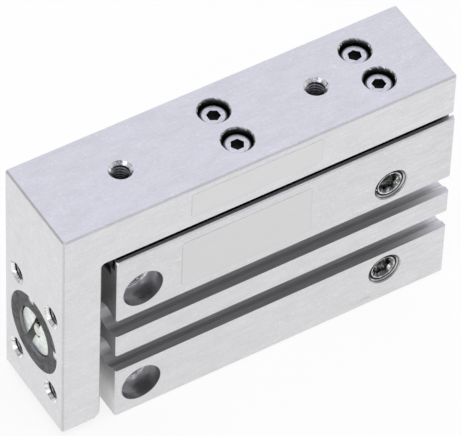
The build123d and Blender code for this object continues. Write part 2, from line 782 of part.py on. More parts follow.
# Socket plugs in the near port threads, with a countersunk bowl round the socket
plug_diameter = port_core_diameter - 2 * plug_clearance
plug_bowl_diameter = plug_diameter - 2 * (plug_rim_chamfer + plug_rim_land)
plug_bowl_depth = (plug_bowl_diameter - plug_socket_size) / 2 + plug_bowl_step
port_plugs = []
for plug_z in (upper_port_z, lower_port_z):
    plug_face = Plane(
        origin=(port_x, plug_recess - housing_width / 2, plug_z),
        x_dir=(1, 0, 0),
        z_dir=(0, 1, 0),
    )
    with BuildPart() as port_plug:
        with BuildSketch(plug_face):
            Circle(plug_diameter / 2)
        extrude(amount=plug_length)
        front_rim = port_plug.edges().filter_by(GeomType.CIRCLE).sort_by(Axis.Y)[0]
        chamfer(front_rim, plug_rim_chamfer)
        with BuildSketch(plug_face):
            Circle(plug_bowl_diameter / 2)
        extrude(amount=plug_bowl_depth, taper=45, mode=Mode.SUBTRACT)
        with BuildSketch(plug_face):
            RegularPolygon(plug_socket_size / sqrt(3), 6)
        extrude(amount=plug_socket_depth, mode=Mode.SUBTRACT)
    port_plugs.append(port_plug)

# Balls that close the air ducts
duct_ball_inset = duct_ball_recess + duct_ball_diameter / 2
with BuildPart() as air_duct_balls:
    with Locations(
        (housing_rear_x - duct_ball_inset, 0, upper_port_z),
        (front_duct_x, 0, trough_floor - duct_ball_inset),
        (port_x, 0, duct_ball_inset),
    ):
        Sphere(duct_ball_diameter / 2)

pieces = {
    "housing": housing,
    "table": table,
    "carriage": carriage,
    "carriage_screws": carriage_screws,
    "guide_rail": guide_rail,
    "guide_rail_screws": guide_rail_screws,
    "ball_cage_near": cages[0],
    "ball_cage_far": cages[1],
    "guide_balls_near": balls[0],
    "guide_balls_far": balls[1],
    "rod_bearing": rod_bearing,
    "rod_bearing_seal": rod_bearing_seal,
    "rod_seal": rod_seal,
    "front_retaining_ring": front_retaining_ring,
    "rear_retaining_ring": rear_retaining_ring,
    "rear_cap": rear_cap,
    "rear_cap_seal": rear_cap_seal,
    "front_bumper": front_bumper,
    "rear_bumper": rear_bumper,
    "piston_front": piston_halves[0],
    "piston_rear": piston_halves[1],
    "piston_magnet": piston_magnet,
    "piston_seals": piston_seals,
    "piston_rod": piston_rod,
    "rod_end": rod_end,
    "ring_nut": ring_nut,
    "port_plug_upper": port_plugs[0],
    "port_plug_lower": port_plugs[1],
    "air_duct_balls": air_duct_balls,
}
os.makedirs("parts", exist_ok=True)
for name, piece in pieces.items():
    piece.part.label = name
    export_step(piece.part, f"parts/{name}.step")
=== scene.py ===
import math

import bpy
from mathutils import Matrix, Vector


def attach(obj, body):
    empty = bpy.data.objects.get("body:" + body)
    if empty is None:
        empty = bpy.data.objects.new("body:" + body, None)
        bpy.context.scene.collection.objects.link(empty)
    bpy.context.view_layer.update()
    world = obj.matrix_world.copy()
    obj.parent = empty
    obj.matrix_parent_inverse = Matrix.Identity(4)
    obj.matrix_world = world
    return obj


# Looks of the pneumatic slide table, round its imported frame. Blender's unit is the metre and the
# frame's is too, so a length in millimetres is written as a number times MM.

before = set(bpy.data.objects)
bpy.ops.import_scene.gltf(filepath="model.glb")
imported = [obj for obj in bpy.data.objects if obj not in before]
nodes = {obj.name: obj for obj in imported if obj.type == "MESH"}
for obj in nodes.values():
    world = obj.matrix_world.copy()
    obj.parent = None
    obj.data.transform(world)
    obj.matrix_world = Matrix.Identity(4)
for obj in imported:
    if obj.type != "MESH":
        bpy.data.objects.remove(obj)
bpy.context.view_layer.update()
MM = 0.001

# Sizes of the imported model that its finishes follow, in millimetres
TABLE_TOP = 38.95
TABLE_HALF_WIDTH = 7.6
YOKE_FACE = 30.3
HOUSING_FRONT = -22.2
HOUSING_REAR = 30.3
HOUSING_HALF_WIDTH = 7.75
CYLINDER_HEIGHT = 14.3
SLOT_PITCH = 7.0
SLOT_MOUTH = 3.15
SLOT_UNDERCUT_WIDTH = 4.4
SLOT_CENTRE_Y = -5.214
RING_NOTCH_RADIUS = 5.1
RING_RADIUS = 6.0
SCREW_HEAD_FACE = 38.05
PLUG_FACE = 7.4

# The ways that its holes open
UP = (0, 0, 1)
FORWARD = (-1, 0, 0)
NEAR_SIDE = (0, -1, 0)
FAR_SIDE = (0, 1, 0)

# Its hole patterns: the middle, half the spacing each way, and where along their axis they open
TABLE_THREADS = dict(centre=(-2.3, 0, 0), half_pitch=(15.0, 0, 0), axis=UP, mouth=TABLE_TOP)
YOKE_THREADS = dict(centre=(0, 0, CYLINDER_HEIGHT), half_pitch=(0, 4.5, 7.5), axis=FORWARD, mouth=YOKE_FACE)
TABLE_SCREWS = dict(centre=(9.7, 0, 0), half_pitch=(11.0, 3.0, 0), axis=UP)
SUPPLY_PORTS = dict(centre=(20.5, 0, CYLINDER_HEIGHT), half_pitch=(0, 0, 8.5))
MOUNTING_BORES = dict(centre=(-18.2, 0, CYLINDER_HEIGHT), half_pitch=(0, 0, 9.5), axis=NEAR_SIDE,
                      mouth=HOUSING_HALF_WIDTH)


# Shared helpers

def srgb(hex_code):
    """An sRGB hex colour as linear red, green, blue and alpha."""
    channels = [int(hex_code[i:i + 2], 16) / 255 for i in (1, 3, 5)]
    return tuple(c / 12.92 if c <= 0.04045 else ((c + 0.055) / 1.055) ** 2.4 for c in channels) + (1.0,)


def add_node(tree, kind, settings=None, inputs=None):
    """Adds one node. A setting is an attribute, an input is a value or another node's socket."""
    node = tree.nodes.new(kind)
    for name, value in (settings or {}).items():
        setattr(node, name, value)
    for name, value in (inputs or {}).items():
        if isinstance(value, bpy.types.NodeSocket):
            tree.links.new(value, node.inputs[name])
        else:
            node.inputs[name].default_value = value
    return node


def new_material(name):
    """An empty material and the node tree to fill."""
    material = bpy.data.materials.new(name)
    material.use_nodes = True
    material.node_tree.nodes.clear()
    return material, material.node_tree


def only(piece):
    """Makes one object the only selected and active one."""
    bpy.ops.object.select_all(action="DESELECT")
    piece.select_set(True)
    bpy.context.view_layer.objects.active = piece


def settle(piece):
    """Puts the object's place, turn and scale into its mesh."""
    only(piece)
    bpy.ops.object.transform_apply(location=True, rotation=True, scale=True)


def twin_of(piece, name, offset):
    """A copy with its own mesh, moved by the offset in metres."""
    twin = piece.copy()
    twin.data = piece.data.copy()
    twin.name = name
    bpy.context.collection.objects.link(twin)
    twin.location = offset
    settle(twin)
    return twin


# Camera, at the place and turn from which the photograph's corners and hole centres fit

camera_data = bpy.data.cameras.new("photo_camera")
camera_data.sensor_fit = "HORIZONTAL"
camera_data.sensor_width = 36.0
camera_data.lens = 396.0
camera_data.clip_start = 0.05
camera_data.clip_end = 20.0
camera = bpy.data.objects.new("photo_camera", camera_data)
bpy.context.collection.objects.link(camera)
camera_right = Vector((0.852526, -0.521891, 0.028792))
camera_up = Vector((0.370486, 0.642222, 0.671037))
camera_back = Vector((-0.368699, -0.561410, 0.740864))
camera_turn = Matrix((camera_right, camera_up, camera_back)).transposed().to_4x4()
camera.matrix_world = Matrix.Translation((-0.25024, -0.38117, 0.52305)) @ camera_turn
bpy.context.scene.camera = camera
bpy.context.scene.view_settings.view_transform = "Standard"

# Studio

world = bpy.data.worlds.new("studio")
bpy.context.scene.world = world
world.use_nodes = True
sky = world.node_tree
sky.nodes.clear()
sky_direction = add_node(sky, "ShaderNodeTexCoord").outputs["Generated"]
sky_parts = add_node(sky, "ShaderNodeSeparateXYZ", inputs={0: sky_direction})
sky_height = add_node(sky, "ShaderNodeMapRange", {"interpolation_type": "SMOOTHSTEP"}, {
    "Value": sky_parts.outputs["Z"], "From Min": 0.25, "From Max": 0.8})
sky_colour = add_node(sky, "ShaderNodeMix", {"data_type": "RGBA"}, {
    0: sky_height.outputs["Result"], 6: srgb("#FFFFFF"), 7: srgb("#E9EAFB")})
# A pale panel hangs behind and above the object, and the room in front of it is dimmer
panel_direction = (0.369, 0.561, 0.741)
panel_side = add_node(sky, "ShaderNodeVectorMath", {"operation": "DOT_PRODUCT"}, {
    0: sky_direction, 1: panel_direction})
panel_level = add_node(sky, "ShaderNodeMapRange", {"interpolation_type": "SMOOTHSTEP"}, {
    "Value": panel_side.outputs["Value"], "From Min": 0.1, "From Max": 0.75, "To Min": 0.55, "To Max": 0.96})
sky_light = add_node(sky, "ShaderNodeBackground", inputs={
    "Color": sky_colour.outputs[2], "Strength": panel_level.outputs["Result"]})
sky_white = add_node(sky, "ShaderNodeBackground", inputs={"Color": srgb("#FFFFFF"), "Strength": 1.0})
sky_path = add_node(sky, "ShaderNodeLightPath")
sky_seen = add_node(sky, "ShaderNodeMath", {"operation": "MAXIMUM"}, {
    0: sky_path.outputs["Is Camera Ray"], 1: sky_path.outputs["Is Transmission Ray"]})
sky_mix = add_node(sky, "ShaderNodeMixShader", inputs={
    0: sky_seen.outputs[0], 1: sky_light.outputs[0], 2: sky_white.outputs[0]})
add_node(sky, "ShaderNodeOutputWorld", inputs={"Surface": sky_mix.outputs[0]})


def soft_box(name, place, aim, size, power):
    """A large square lamp that faces a point."""
    lamp_data = bpy.data.lights.new(name, "AREA")
    lamp_data.shape = "SQUARE"
    lamp_data.size = size
    lamp_data.energy = power
    lamp = bpy.data.objects.new(name, lamp_data)
    bpy.context.collection.objects.link(lamp)
    lamp.location = place
    lamp.rotation_euler = (Vector(aim) - Vector(place)).to_track_quat("-Z", "Y").to_euler()


soft_box("left_soft_box", place=(-0.9, -0.45, 0.45), aim=(0, 0, 0.02), size=0.8, power=2.5)
soft_box("top_soft_box", place=(0.1, -0.3, 1.2), aim=(0, 0, 0.02), size=0.9, power=5.0)

# Pale floor, white to the eye and in reflections, which keeps a faint contact shadow
floor_size = 8.0
floor_height = -0.02 * MM
floor_glow = 0.85
bpy.ops.object.select_all(action="DESELECT")
bpy.ops.mesh.primitive_grid_add(
    x_subdivisions=4, y_subdivisions=4, size=floor_size, location=(0, 0, floor_height))
floor = bpy.context.active_object
floor.name = "studio_floor"
settle(floor)
paper, paper_tree = new_material("white_studio_paper")
paper_matte = add_node(paper_tree, "ShaderNodeBsdfDiffuse", inputs={"Color": srgb("#F6F6F6")})
paper_white = add_node(paper_tree, "ShaderNodeEmission", inputs={"Color": srgb("#FFFFFF"), "Strength": 1.0})
paper_path = add_node(paper_tree, "ShaderNodeLightPath")
paper_seen = add_node(paper_tree, "ShaderNodeMath", {"operation": "ADD"}, {
    0: paper_path.outputs["Is Camera Ray"], 1: paper_path.outputs["Is Glossy Ray"]})
paper_seen = add_node(paper_tree, "ShaderNodeMath", {"operation": "ADD"}, {
    0: paper_seen.outputs[0], 1: paper_path.outputs["Is Transmission Ray"]})
paper_share = add_node(paper_tree, "ShaderNodeMath", {"operation": "MULTIPLY", "use_clamp": True}, {
    0: paper_seen.outputs[0], 1: floor_glow})
paper_mix = add_node(paper_tree, "ShaderNodeMixShader", inputs={
    0: paper_share.outputs[0], 1: paper_matte.outputs[0], 2: paper_white.outputs[0]})
add_node(paper_tree, "ShaderNodeOutputMaterial", inputs={"Surface": paper_mix.outputs[0]})
floor.data.materials.append(paper)


# Parts of finishes

def stretched_noise(tree, sizes_mm, detail, softness):
    """Noise on Object coordinates whose blobs are about as long, wide and high as the sizes."""
    place = add_node(tree, "ShaderNodeTexCoord").outputs["Object"]
    grid = add_node(tree, "ShaderNodeMapping", inputs={
        "Vector": place, "Scale": tuple(1.0 / (size * MM) for size in sizes_mm)})
    return add_node(tree, "ShaderNodeTexNoise", inputs={
        "Vector": grid.outputs[0], "Scale": 1.0, "Detail": detail, "Roughness": softness}).outputs["Fac"]


def recess_shade(tree, reach_mm, darkest, open_at, shut_at=0.03):
    """1 in the open, and down to the darkest value where walls stand near on all sides."""
    openness = add_node(tree, "ShaderNodeAmbientOcclusion", {"samples": 12}, {"Distance": reach_mm * MM})
    return add_node(tree, "ShaderNodeMapRange", inputs={
        "Value": openness.outputs["AO"], "From Min": shut_at, "From Max": open_at,
        "To Min": darkest, "To Max": 1.0}).outputs["Result"]


def ramped(tree, level, ramps):
    """The level times each ramp. A ramp is a value, its start and end in mm, and its two tones."""
    for value, start, end, first, last in ramps:
        ramp = add_node(tree, "ShaderNodeMapRange", inputs={
            "Value": value, "From Min": start * MM, "From Max": end * MM, "To Min": first, "To Max": last})
        level = add_node(tree, "ShaderNodeMath", {"operation": "MULTIPLY"}, {
            0: level, 1: ramp.outputs["Result"]}).outputs[0]
    return level


def hole_frame(tree, centre_mm, half_pitch_mm, axis):
    """Distance to the nearest axis of a symmetric hole pattern, and the way out from that axis."""
    place = add_node(tree, "ShaderNodeTexCoord").outputs["Object"]
    centred = add_node(tree, "ShaderNodeVectorMath", {"operation": "SUBTRACT"}, {
        0: place, 1: tuple(c * MM for c in centre_mm)})
    side = add_node(tree, "ShaderNodeVectorMath", {"operation": "SIGN"}, {0: centred.outputs[0]})
    folded = add_node(tree, "ShaderNodeVectorMath", {"operation": "ABSOLUTE"}, {0: centred.outputs[0]})
    local = add_node(tree, "ShaderNodeVectorMath", {"operation": "SUBTRACT"}, {
        0: folded.outputs[0], 1: tuple(h * MM for h in half_pitch_mm)})
    unfolded = add_node(tree, "ShaderNodeVectorMath", {"operation": "MULTIPLY"}, {
        0: local.outputs[0], 1: side.outputs[0]})
    outward = add_node(tree, "ShaderNodeVectorMath", {"operation": "MULTIPLY"}, {
        0: unfolded.outputs[0], 1: tuple(1.0 - abs(a) for a in axis)})
    distance = add_node(tree, "ShaderNodeVectorMath", {"operation": "LENGTH"}, {0: outward.outputs[0]})
    return distance.outputs["Value"], outward.outputs[0]


def bore_marks_and_painted_light(tree, look, centre, half_pitch, axis, mouth, radius, reach, rim, deep, marks, gloss,
                spread=(0.3, 0.7), ring=0.14, patch=0.7, spokes=0.0, bands=None, glints=None):
    """Paints a hole pattern's cut surfaces, inside a radius and down to a reach, in mm: tool marks, painted
    shade and painted highlights.

    look is the shade, roughness and normal so far. rim and deep are ramps of painted shade and light
    over the depth, each as start, end, first tone and last tone. marks are the tones of the turned rings
    between the two noise levels of spread, ring and patch are the rings' width and how far they stay
    alike on their way round, spokes is how many marks also stand across them, and bands are painted
    tones of shade and light at distances from the axis. glints are painted highlights: the depths
    between which the marks flash, with how brightly and above which level. The normals are those of
    the round bore, which the mesh has as narrow flats. A tool's real rings are finer: they are drawn
    coarse enough to show.
    """
    shade, roughness, normal = look
    place = add_node(tree, "ShaderNodeTexCoord").outputs["Object"]
    distance, outward = hole_frame(tree, centre, half_pitch, axis)
    along = add_node(tree, "ShaderNodeVectorMath", {"operation": "DOT_PRODUCT"}, {0: place, 1: axis})
    depth = add_node(tree, "ShaderNodeMath", {"operation": "SUBTRACT"}, {
        0: mouth * MM, 1: along.outputs["Value"]})
    near = add_node(tree, "ShaderNodeMath", {"operation": "LESS_THAN"}, {0: distance, 1: radius * MM})
    shallow = add_node(tree, "ShaderNodeMath", {"operation": "LESS_THAN"}, {
        0: depth.outputs[0], 1: reach * MM})
    inside = add_node(tree, "ShaderNodeMath", {"operation": "MULTIPLY"}, {
        0: near.outputs[0], 1: shallow.outputs[0]})

    # Turned rings that change slowly on their way round
    ring_out = add_node(tree, "ShaderNodeMath", {"operation": "DIVIDE"}, {0: distance, 1: ring * MM})
    ring_in = add_node(tree, "ShaderNodeMath", {"operation": "DIVIDE"}, {0: depth.outputs[0], 1: ring * MM})
    ring_place = add_node(tree, "ShaderNodeCombineXYZ", inputs={
        "X": ring_out.outputs[0], "Y": ring_in.outputs[0]})
    warped = add_node(tree, "ShaderNodeVectorMath", {"operation": "MULTIPLY_ADD"}, {
        0: place, 1: (1 / (patch * MM),) * 3, 2: ring_place.outputs[0]})
    inward = add_node(tree, "ShaderNodeVectorMath", {"operation": "NORMALIZE"}, {0: outward})
    warped = add_node(tree, "ShaderNodeVectorMath", {"operation": "MULTIPLY_ADD"}, {
        0: inward.outputs[0], 1: (spokes,) * 3, 2: warped.outputs[0]})
    rings = add_node(tree, "ShaderNodeTexNoise", inputs={
        "Vector": warped.outputs[0], "Scale": 1.0, "Detail": 1.0, "Roughness": 0.5}).outputs["Fac"]

    level = add_node(tree, "ShaderNodeMapRange", inputs={
        "Value": rings, "From Min": spread[0], "From Max": spread[1],
        "To Min": marks[0], "To Max": marks[1]}).outputs["Result"]
    # Painted shade and light over the depth
    level = ramped(tree, level, [(depth.outputs[0], *rim), (depth.outputs[0], *deep)])
    # Painted dark and bright bands at distances from the axis
    if bands:
        widest = bands[-1][0]
        share = add_node(tree, "ShaderNodeMath", {"operation": "DIVIDE"}, {0: distance, 1: widest * MM})
        band_tone = add_node(tree, "ShaderNodeValToRGB", inputs={0: share.outputs[0]})
        stops = band_tone.color_ramp.elements
        for index, (at, tone) in enumerate(bands):
            stop = stops[index] if index < 2 else stops.new(at / widest)
            stop.position = at / widest
            stop.color = (tone, tone, tone, 1.0)
        level = add_node(tree, "ShaderNodeMath", {"operation": "MULTIPLY"}, {
            0: level, 1: band_tone.outputs["Color"]}).outputs[0]
    # Painted glints where the marks rise above the cutoff
    if glints:
        start, end, brightness, cutoff = glints
        after = add_node(tree, "ShaderNodeMath", {"operation": "GREATER_THAN"}, {
            0: depth.outputs[0], 1: start * MM})
        before = add_node(tree, "ShaderNodeMath", {"operation": "LESS_THAN"}, {
            0: depth.outputs[0], 1: end * MM})
        flash = add_node(tree, "ShaderNodeMapRange", inputs={
            "Value": rings, "From Min": cutoff, "From Max": cutoff + 0.05, "To Min": 0.0, "To Max": 1.0})
        flash = add_node(tree, "ShaderNodeMath", {"operation": "MULTIPLY"}, {
            0: flash.outputs["Result"], 1: after.outputs[0]})
        flash = add_node(tree, "ShaderNodeMath", {"operation": "MULTIPLY"}, {
            0: flash.outputs[0], 1: before.outputs[0]})
        level = add_node(tree, "ShaderNodeMix", inputs={
            0: flash.outputs[0], 2: level, 3: brightness}).outputs[0]

    # The round bore's normal: along the axis as much as the flat's own, and inward for the rest
    slope = add_node(tree, "ShaderNodeVectorMath", {"operation": "DOT_PRODUCT"}, {
        0: add_node(tree, "ShaderNodeNewGeometry").outputs["True Normal"], 1: axis})
    slope_squared = add_node(tree, "ShaderNodeMath", {"operation": "POWER"}, {
        0: slope.outputs["Value"], 1: 2.0})
    wall_squared = add_node(tree, "ShaderNodeMath", {"operation": "SUBTRACT", "use_clamp": True}, {
        0: 1.0, 1: slope_squared.outputs[0]})
    wall_share = add_node(tree, "ShaderNodeMath", {"operation": "SQRT"}, {0: wall_squared.outputs[0]})
    inward = add_node(tree, "ShaderNodeVectorMath", {"operation": "SCALE"}, {
        0: inward.outputs[0], "Scale": wall_share.outputs[0]})
    facing = add_node(tree, "ShaderNodeVectorMath", {"operation": "SCALE"}, {
        0: axis, "Scale": slope.outputs["Value"]})
    round_normal = add_node(tree, "ShaderNodeVectorMath", {"operation": "SUBTRACT"}, {
        0: facing.outputs[0], 1: inward.outputs[0]})

    shade = add_node(tree, "ShaderNodeMix", inputs={0: inside.outputs[0], 2: shade, 3: level}).outputs[0]
    roughness = add_node(tree, "ShaderNodeMix", inputs={
        0: inside.outputs[0], 2: roughness, 3: gloss}).outputs[0]
    normal = add_node(tree, "ShaderNodeMix", {"data_type": "VECTOR"}, {
        0: inside.outputs[0], 4: normal, 5: round_normal.outputs[0]}).outputs[1]
    return shade, roughness, normal


def slot_painted_shade(tree, shade):
    """Paints shade into the two sensor slots: their drawn surface as an even darker grey with fine
    lines along it, a thin painted shade line inside each wall, and painted light towards the two open
    ends, where light comes in. The lines are drawn 0.16 mm wide, coarser than real, so that they show."""
    # The shade line is painted by its tone alone, at this depth in mm from the housing's face
    shade_line_depth = 1.93
    place = add_node(tree, "ShaderNodeTexCoord").outputs["Object"]
    parts = add_node(tree, "ShaderNodeSeparateXYZ", inputs={0: place})
    height = add_node(tree, "ShaderNodeMath", {"operation": "SUBTRACT"}, {
        0: parts.outputs["Z"], 1: CYLINDER_HEIGHT * MM})
    height = add_node(tree, "ShaderNodeMath", {"operation": "ABSOLUTE"}, {0: height.outputs[0]})
    height = add_node(tree, "ShaderNodeMath", {"operation": "SUBTRACT"}, {
        0: height.outputs[0], 1: SLOT_PITCH / 2 * MM})
    height = add_node(tree, "ShaderNodeMath", {"operation": "ABSOLUTE"}, {0: height.outputs[0]})
    deep = add_node(tree, "ShaderNodeMath", {"operation": "SUBTRACT"}, {
        0: parts.outputs["Y"], 1: SLOT_CENTRE_Y * MM})
    across = add_node(tree, "ShaderNodeCombineXYZ", inputs={"Y": deep.outputs[0], "Z": height.outputs[0]})
    distance = add_node(tree, "ShaderNodeVectorMath", {"operation": "LENGTH"}, {0: across.outputs[0]})
    # The tests reach a few hundredths past the slot's walls, so that these count as inside, and
    # start as far behind the housing's face, so that it doesn't
    in_undercut = add_node(tree, "ShaderNodeMath", {"operation": "LESS_THAN"}, {
        0: distance.outputs["Value"], 1: (SLOT_UNDERCUT_WIDTH / 2 + 0.03) * MM})
    in_height = add_node(tree, "ShaderNodeMath", {"operation": "LESS_THAN"}, {
        0: height.outputs[0], 1: (SLOT_MOUTH / 2 + 0.02) * MM})
    past_face = add_node(tree, "ShaderNodeMath", {"operation": "GREATER_THAN"}, {
        0: parts.outputs["Y"], 1: (-HOUSING_HALF_WIDTH + 0.02) * MM})
    short_of_bore = add_node(tree, "ShaderNodeMath", {"operation": "LESS_THAN"}, {
        0: parts.outputs["Y"], 1: SLOT_CENTRE_Y * MM})
    in_mouth = add_node(tree, "ShaderNodeMath", {"operation": "MULTIPLY"}, {
        0: in_height.outputs[0], 1: past_face.outputs[0]})
    in_mouth = add_node(tree, "ShaderNodeMath", {"operation": "MULTIPLY"}, {
        0: in_mouth.outputs[0], 1: short_of_bore.outputs[0]})
    inside = add_node(tree, "ShaderNodeMath", {"operation": "MAXIMUM"}, {
        0: in_undercut.outputs[0], 1: in_mouth.outputs[0]})

    drawn_lines = stretched_noise(tree, (12.0, 0.16, 0.16), detail=2.0, softness=0.6)
    # Painted shade: the slots' even darker grey, with the drawn lines in it
    level = add_node(tree, "ShaderNodeMapRange", inputs={
        "Value": drawn_lines, "From Min": 0.3, "From Max": 0.7,
        "To Min": 0.645, "To Max": 0.84}).outputs["Result"]
    behind_lip = add_node(tree, "ShaderNodeMapRange", inputs={
        "Value": in_undercut.outputs[0], "To Min": 1.0, "To Max": 1.12})
    level = add_node(tree, "ShaderNodeMath", {"operation": "MULTIPLY"}, {
        0: level, 1: behind_lip.outputs["Result"]}).outputs[0]
    shade_line = add_node(tree, "ShaderNodeMath", {"operation": "SUBTRACT"}, {
        0: parts.outputs["Y"], 1: (-HOUSING_HALF_WIDTH + shade_line_depth) * MM})
    shade_line = add_node(tree, "ShaderNodeMath", {"operation": "ABSOLUTE"}, {0: shade_line.outputs[0]})
    # Painted shade at the shade line, and painted light towards the rear and the front end
    level = ramped(tree, level, [
        (shade_line.outputs[0], 0.02, 0.11, 0.62, 1.0),
        (parts.outputs["X"], 21.0, HOUSING_REAR, 1.0, 1.2),
        (parts.outputs["X"], HOUSING_FRONT, -20.5, 1.05, 1.0)])
    return add_node(tree, "ShaderNodeMix", inputs={0: inside.outputs[0], 2: shade, 3: level}).outputs[0]


def smear_tone(tree, centre_mm, half_size_mm, strength):
    """A faint handling smear on a face, darker in its middle."""
    place = add_node(tree, "ShaderNodeTexCoord").outputs["Object"]
    centred = add_node(tree, "ShaderNodeVectorMath", {"operation": "SUBTRACT"}, {
        0: place, 1: tuple(c * MM for c in centre_mm)})
    spread = add_node(tree, "ShaderNodeVectorMath", {"operation": "MULTIPLY"}, {
        0: centred.outputs[0], 1: tuple(1 / (h * MM) for h in half_size_mm)})
    distance = add_node(tree, "ShaderNodeVectorMath", {"operation": "LENGTH"}, {0: spread.outputs[0]})
    return add_node(tree, "ShaderNodeMapRange", {"interpolation_type": "SMOOTHSTEP"}, {
        "Value": distance.outputs["Value"], "From Min": 0.1, "From Max": 1.0,
        "To Min": 1 - strength, "To Max": 1.0}).outputs["Result"]


# Materials

def milled_aluminium(name, base, painted_edge_tones, bores, slotted):
    """Clear anodised aluminium, drawn as a bar and then fly-cut: pale grey metal with a satin sheen,
    uneven fine lines along the stroke, a mottled grain on the cut top, painted shade and light on the
    broken edges, painted shade in recesses and sharp turned holes with painted shade and glints. The
    lines are drawn 0.26 mm wide and the grain 0.3 mm, coarser than real, so that they show."""
    material, tree = new_material(name)
    shape = add_node(tree, "ShaderNodeNewGeometry")
    signed = add_node(tree, "ShaderNodeSeparateXYZ", inputs={0: shape.outputs["True Normal"]})
    facing = add_node(tree, "ShaderNodeVectorMath", {"operation": "ABSOLUTE"}, {
        0: shape.outputs["True Normal"]})
    sides = add_node(tree, "ShaderNodeSeparateXYZ", inputs={0: facing.outputs[0]})
    place = add_node(tree, "ShaderNodeTexCoord").outputs["Object"]
    parts = add_node(tree, "ShaderNodeSeparateXYZ", inputs={0: place})

    fine_lines = stretched_noise(tree, (4.5, 0.26, 0.26), detail=3.0, softness=0.65)
    clouds = stretched_noise(tree, (4.0, 1.5, 1.5), detail=3.0, softness=0.6)
    grain = stretched_noise(tree, (0.42, 0.32, 0.32), detail=2.0, softness=0.7)

    # Lines count less on the cut top than on the sides, and most near the rear end
    line_share = add_node(tree, "ShaderNodeMapRange", inputs={
        "Value": sides.outputs["Z"], "To Min": 0.20, "To Max": 0.08})
    rear_share = add_node(tree, "ShaderNodeMapRange", inputs={
        "Value": parts.outputs["X"], "From Min": 8 * MM, "From Max": 24 * MM, "To Min": 1.0, "To Max": 1.9})
    line_share = add_node(tree, "ShaderNodeMath", {"operation": "MULTIPLY"}, {
        0: line_share.outputs["Result"], 1: rear_share.outputs["Result"]})
    line_step = add_node(tree, "ShaderNodeMath", {"operation": "SUBTRACT"}, {0: fine_lines, 1: 0.5})
    tone = add_node(tree, "ShaderNodeMath", {"operation": "MULTIPLY_ADD"}, {
        0: line_step.outputs[0], 1: line_share.outputs[0], 2: 1.0})
    cloud_tone = add_node(tree, "ShaderNodeMapRange", inputs={
        "Value": clouds, "To Min": 0.91, "To Max": 1.09})
    grain_tone = add_node(tree, "ShaderNodeMapRange", inputs={
        "Value": grain, "To Min": 0.90, "To Max": 1.10})
    specks = add_node(tree, "ShaderNodeMapRange", inputs={
        "Value": stretched_noise(tree, (0.5, 0.4, 0.4), detail=0.0, softness=0.5),
        "From Min": 0.70, "From Max": 0.76, "To Min": 1.0, "To Max": 1.07})

    # Broken edges have their own two tones of painted shade and light, at the sides and the ends
    flattest = add_node(tree, "ShaderNodeMath", {"operation": "MAXIMUM"}, {
        0: sides.outputs["X"], 1: sides.outputs["Y"]})
    flattest = add_node(tree, "ShaderNodeMath", {"operation": "MAXIMUM"}, {
        0: flattest.outputs[0], 1: sides.outputs["Z"]})
    slanted = add_node(tree, "ShaderNodeMapRange", inputs={
        "Value": flattest.outputs[0], "From Min": 0.9, "From Max": 0.98, "To Min": 1.0, "To Max": 0.0})
    painted_edge_level = add_node(tree, "ShaderNodeMapRange", inputs={
        "Value": sides.outputs["X"], "From Min": 0.3, "From Max": 0.6,
        "To Min": painted_edge_tones[0], "To Max": painted_edge_tones[1]})
    painted_edge_tone = add_node(tree, "ShaderNodeMix", inputs={
        0: slanted.outputs["Result"], 2: 1.0, 3: painted_edge_level.outputs["Result"]})

    # A face that looks up needs a wider opening to be lit than one that also sees the floor
    open_at = add_node(tree, "ShaderNodeMapRange", inputs={
        "Value": signed.outputs["Z"], "From Min": 0.7, "From Max": 0.9, "To Min": 0.40, "To Max": 0.80})
    recess = recess_shade(tree, reach_mm=5.0, darkest=0.27, open_at=open_at.outputs["Result"])

    shade = tone.outputs[0]
    factors = [cloud_tone.outputs["Result"], grain_tone.outputs["Result"], specks.outputs["Result"],
               painted_edge_tone.outputs[0], recess]
    if slotted:
        factors.append(smear_tone(tree, centre_mm=(17.6, -HOUSING_HALF_WIDTH, 1.4),
                                  half_size_mm=(1.7, 1.0, 0.45), strength=0.16))
    for factor in factors:
        shade = add_node(tree, "ShaderNodeMath", {"operation": "MULTIPLY"}, {0: shade, 1: factor}).outputs[0]
    roughness = add_node(tree, "ShaderNodeMapRange", inputs={
        "Value": fine_lines, "To Min": 0.36, "To Max": 0.48})
    if slotted:
        shade = slot_painted_shade(tree, shade)
    look = (shade, roughness.outputs["Result"], shape.outputs["Normal"])
    for bore in bores:
        look = bore_marks_and_painted_light(tree, look, **bore)
    shade, roughness, normal = look

    colour = add_node(tree, "ShaderNodeVectorMath", {"operation": "SCALE"}, {
        0: srgb(base)[:3], "Scale": shade})
    relief = add_node(tree, "ShaderNodeMath", {"operation": "MULTIPLY_ADD"}, {
        0: fine_lines, 1: 0.5, 2: grain})
    bump = add_node(tree, "ShaderNodeBump", inputs={
        "Strength": 0.18, "Distance": 0.02 * MM, "Height": relief.outputs[0], "Normal": normal})
    metal = add_node(tree, "ShaderNodeBsdfPrincipled", inputs={
        "Base Color": colour.outputs[0], "Metallic": 1.0, "Roughness": roughness, "Normal": bump.outputs[0]})
    add_node(tree, "ShaderNodeOutputMaterial", inputs={"Surface": metal.outputs[0]})
    return material


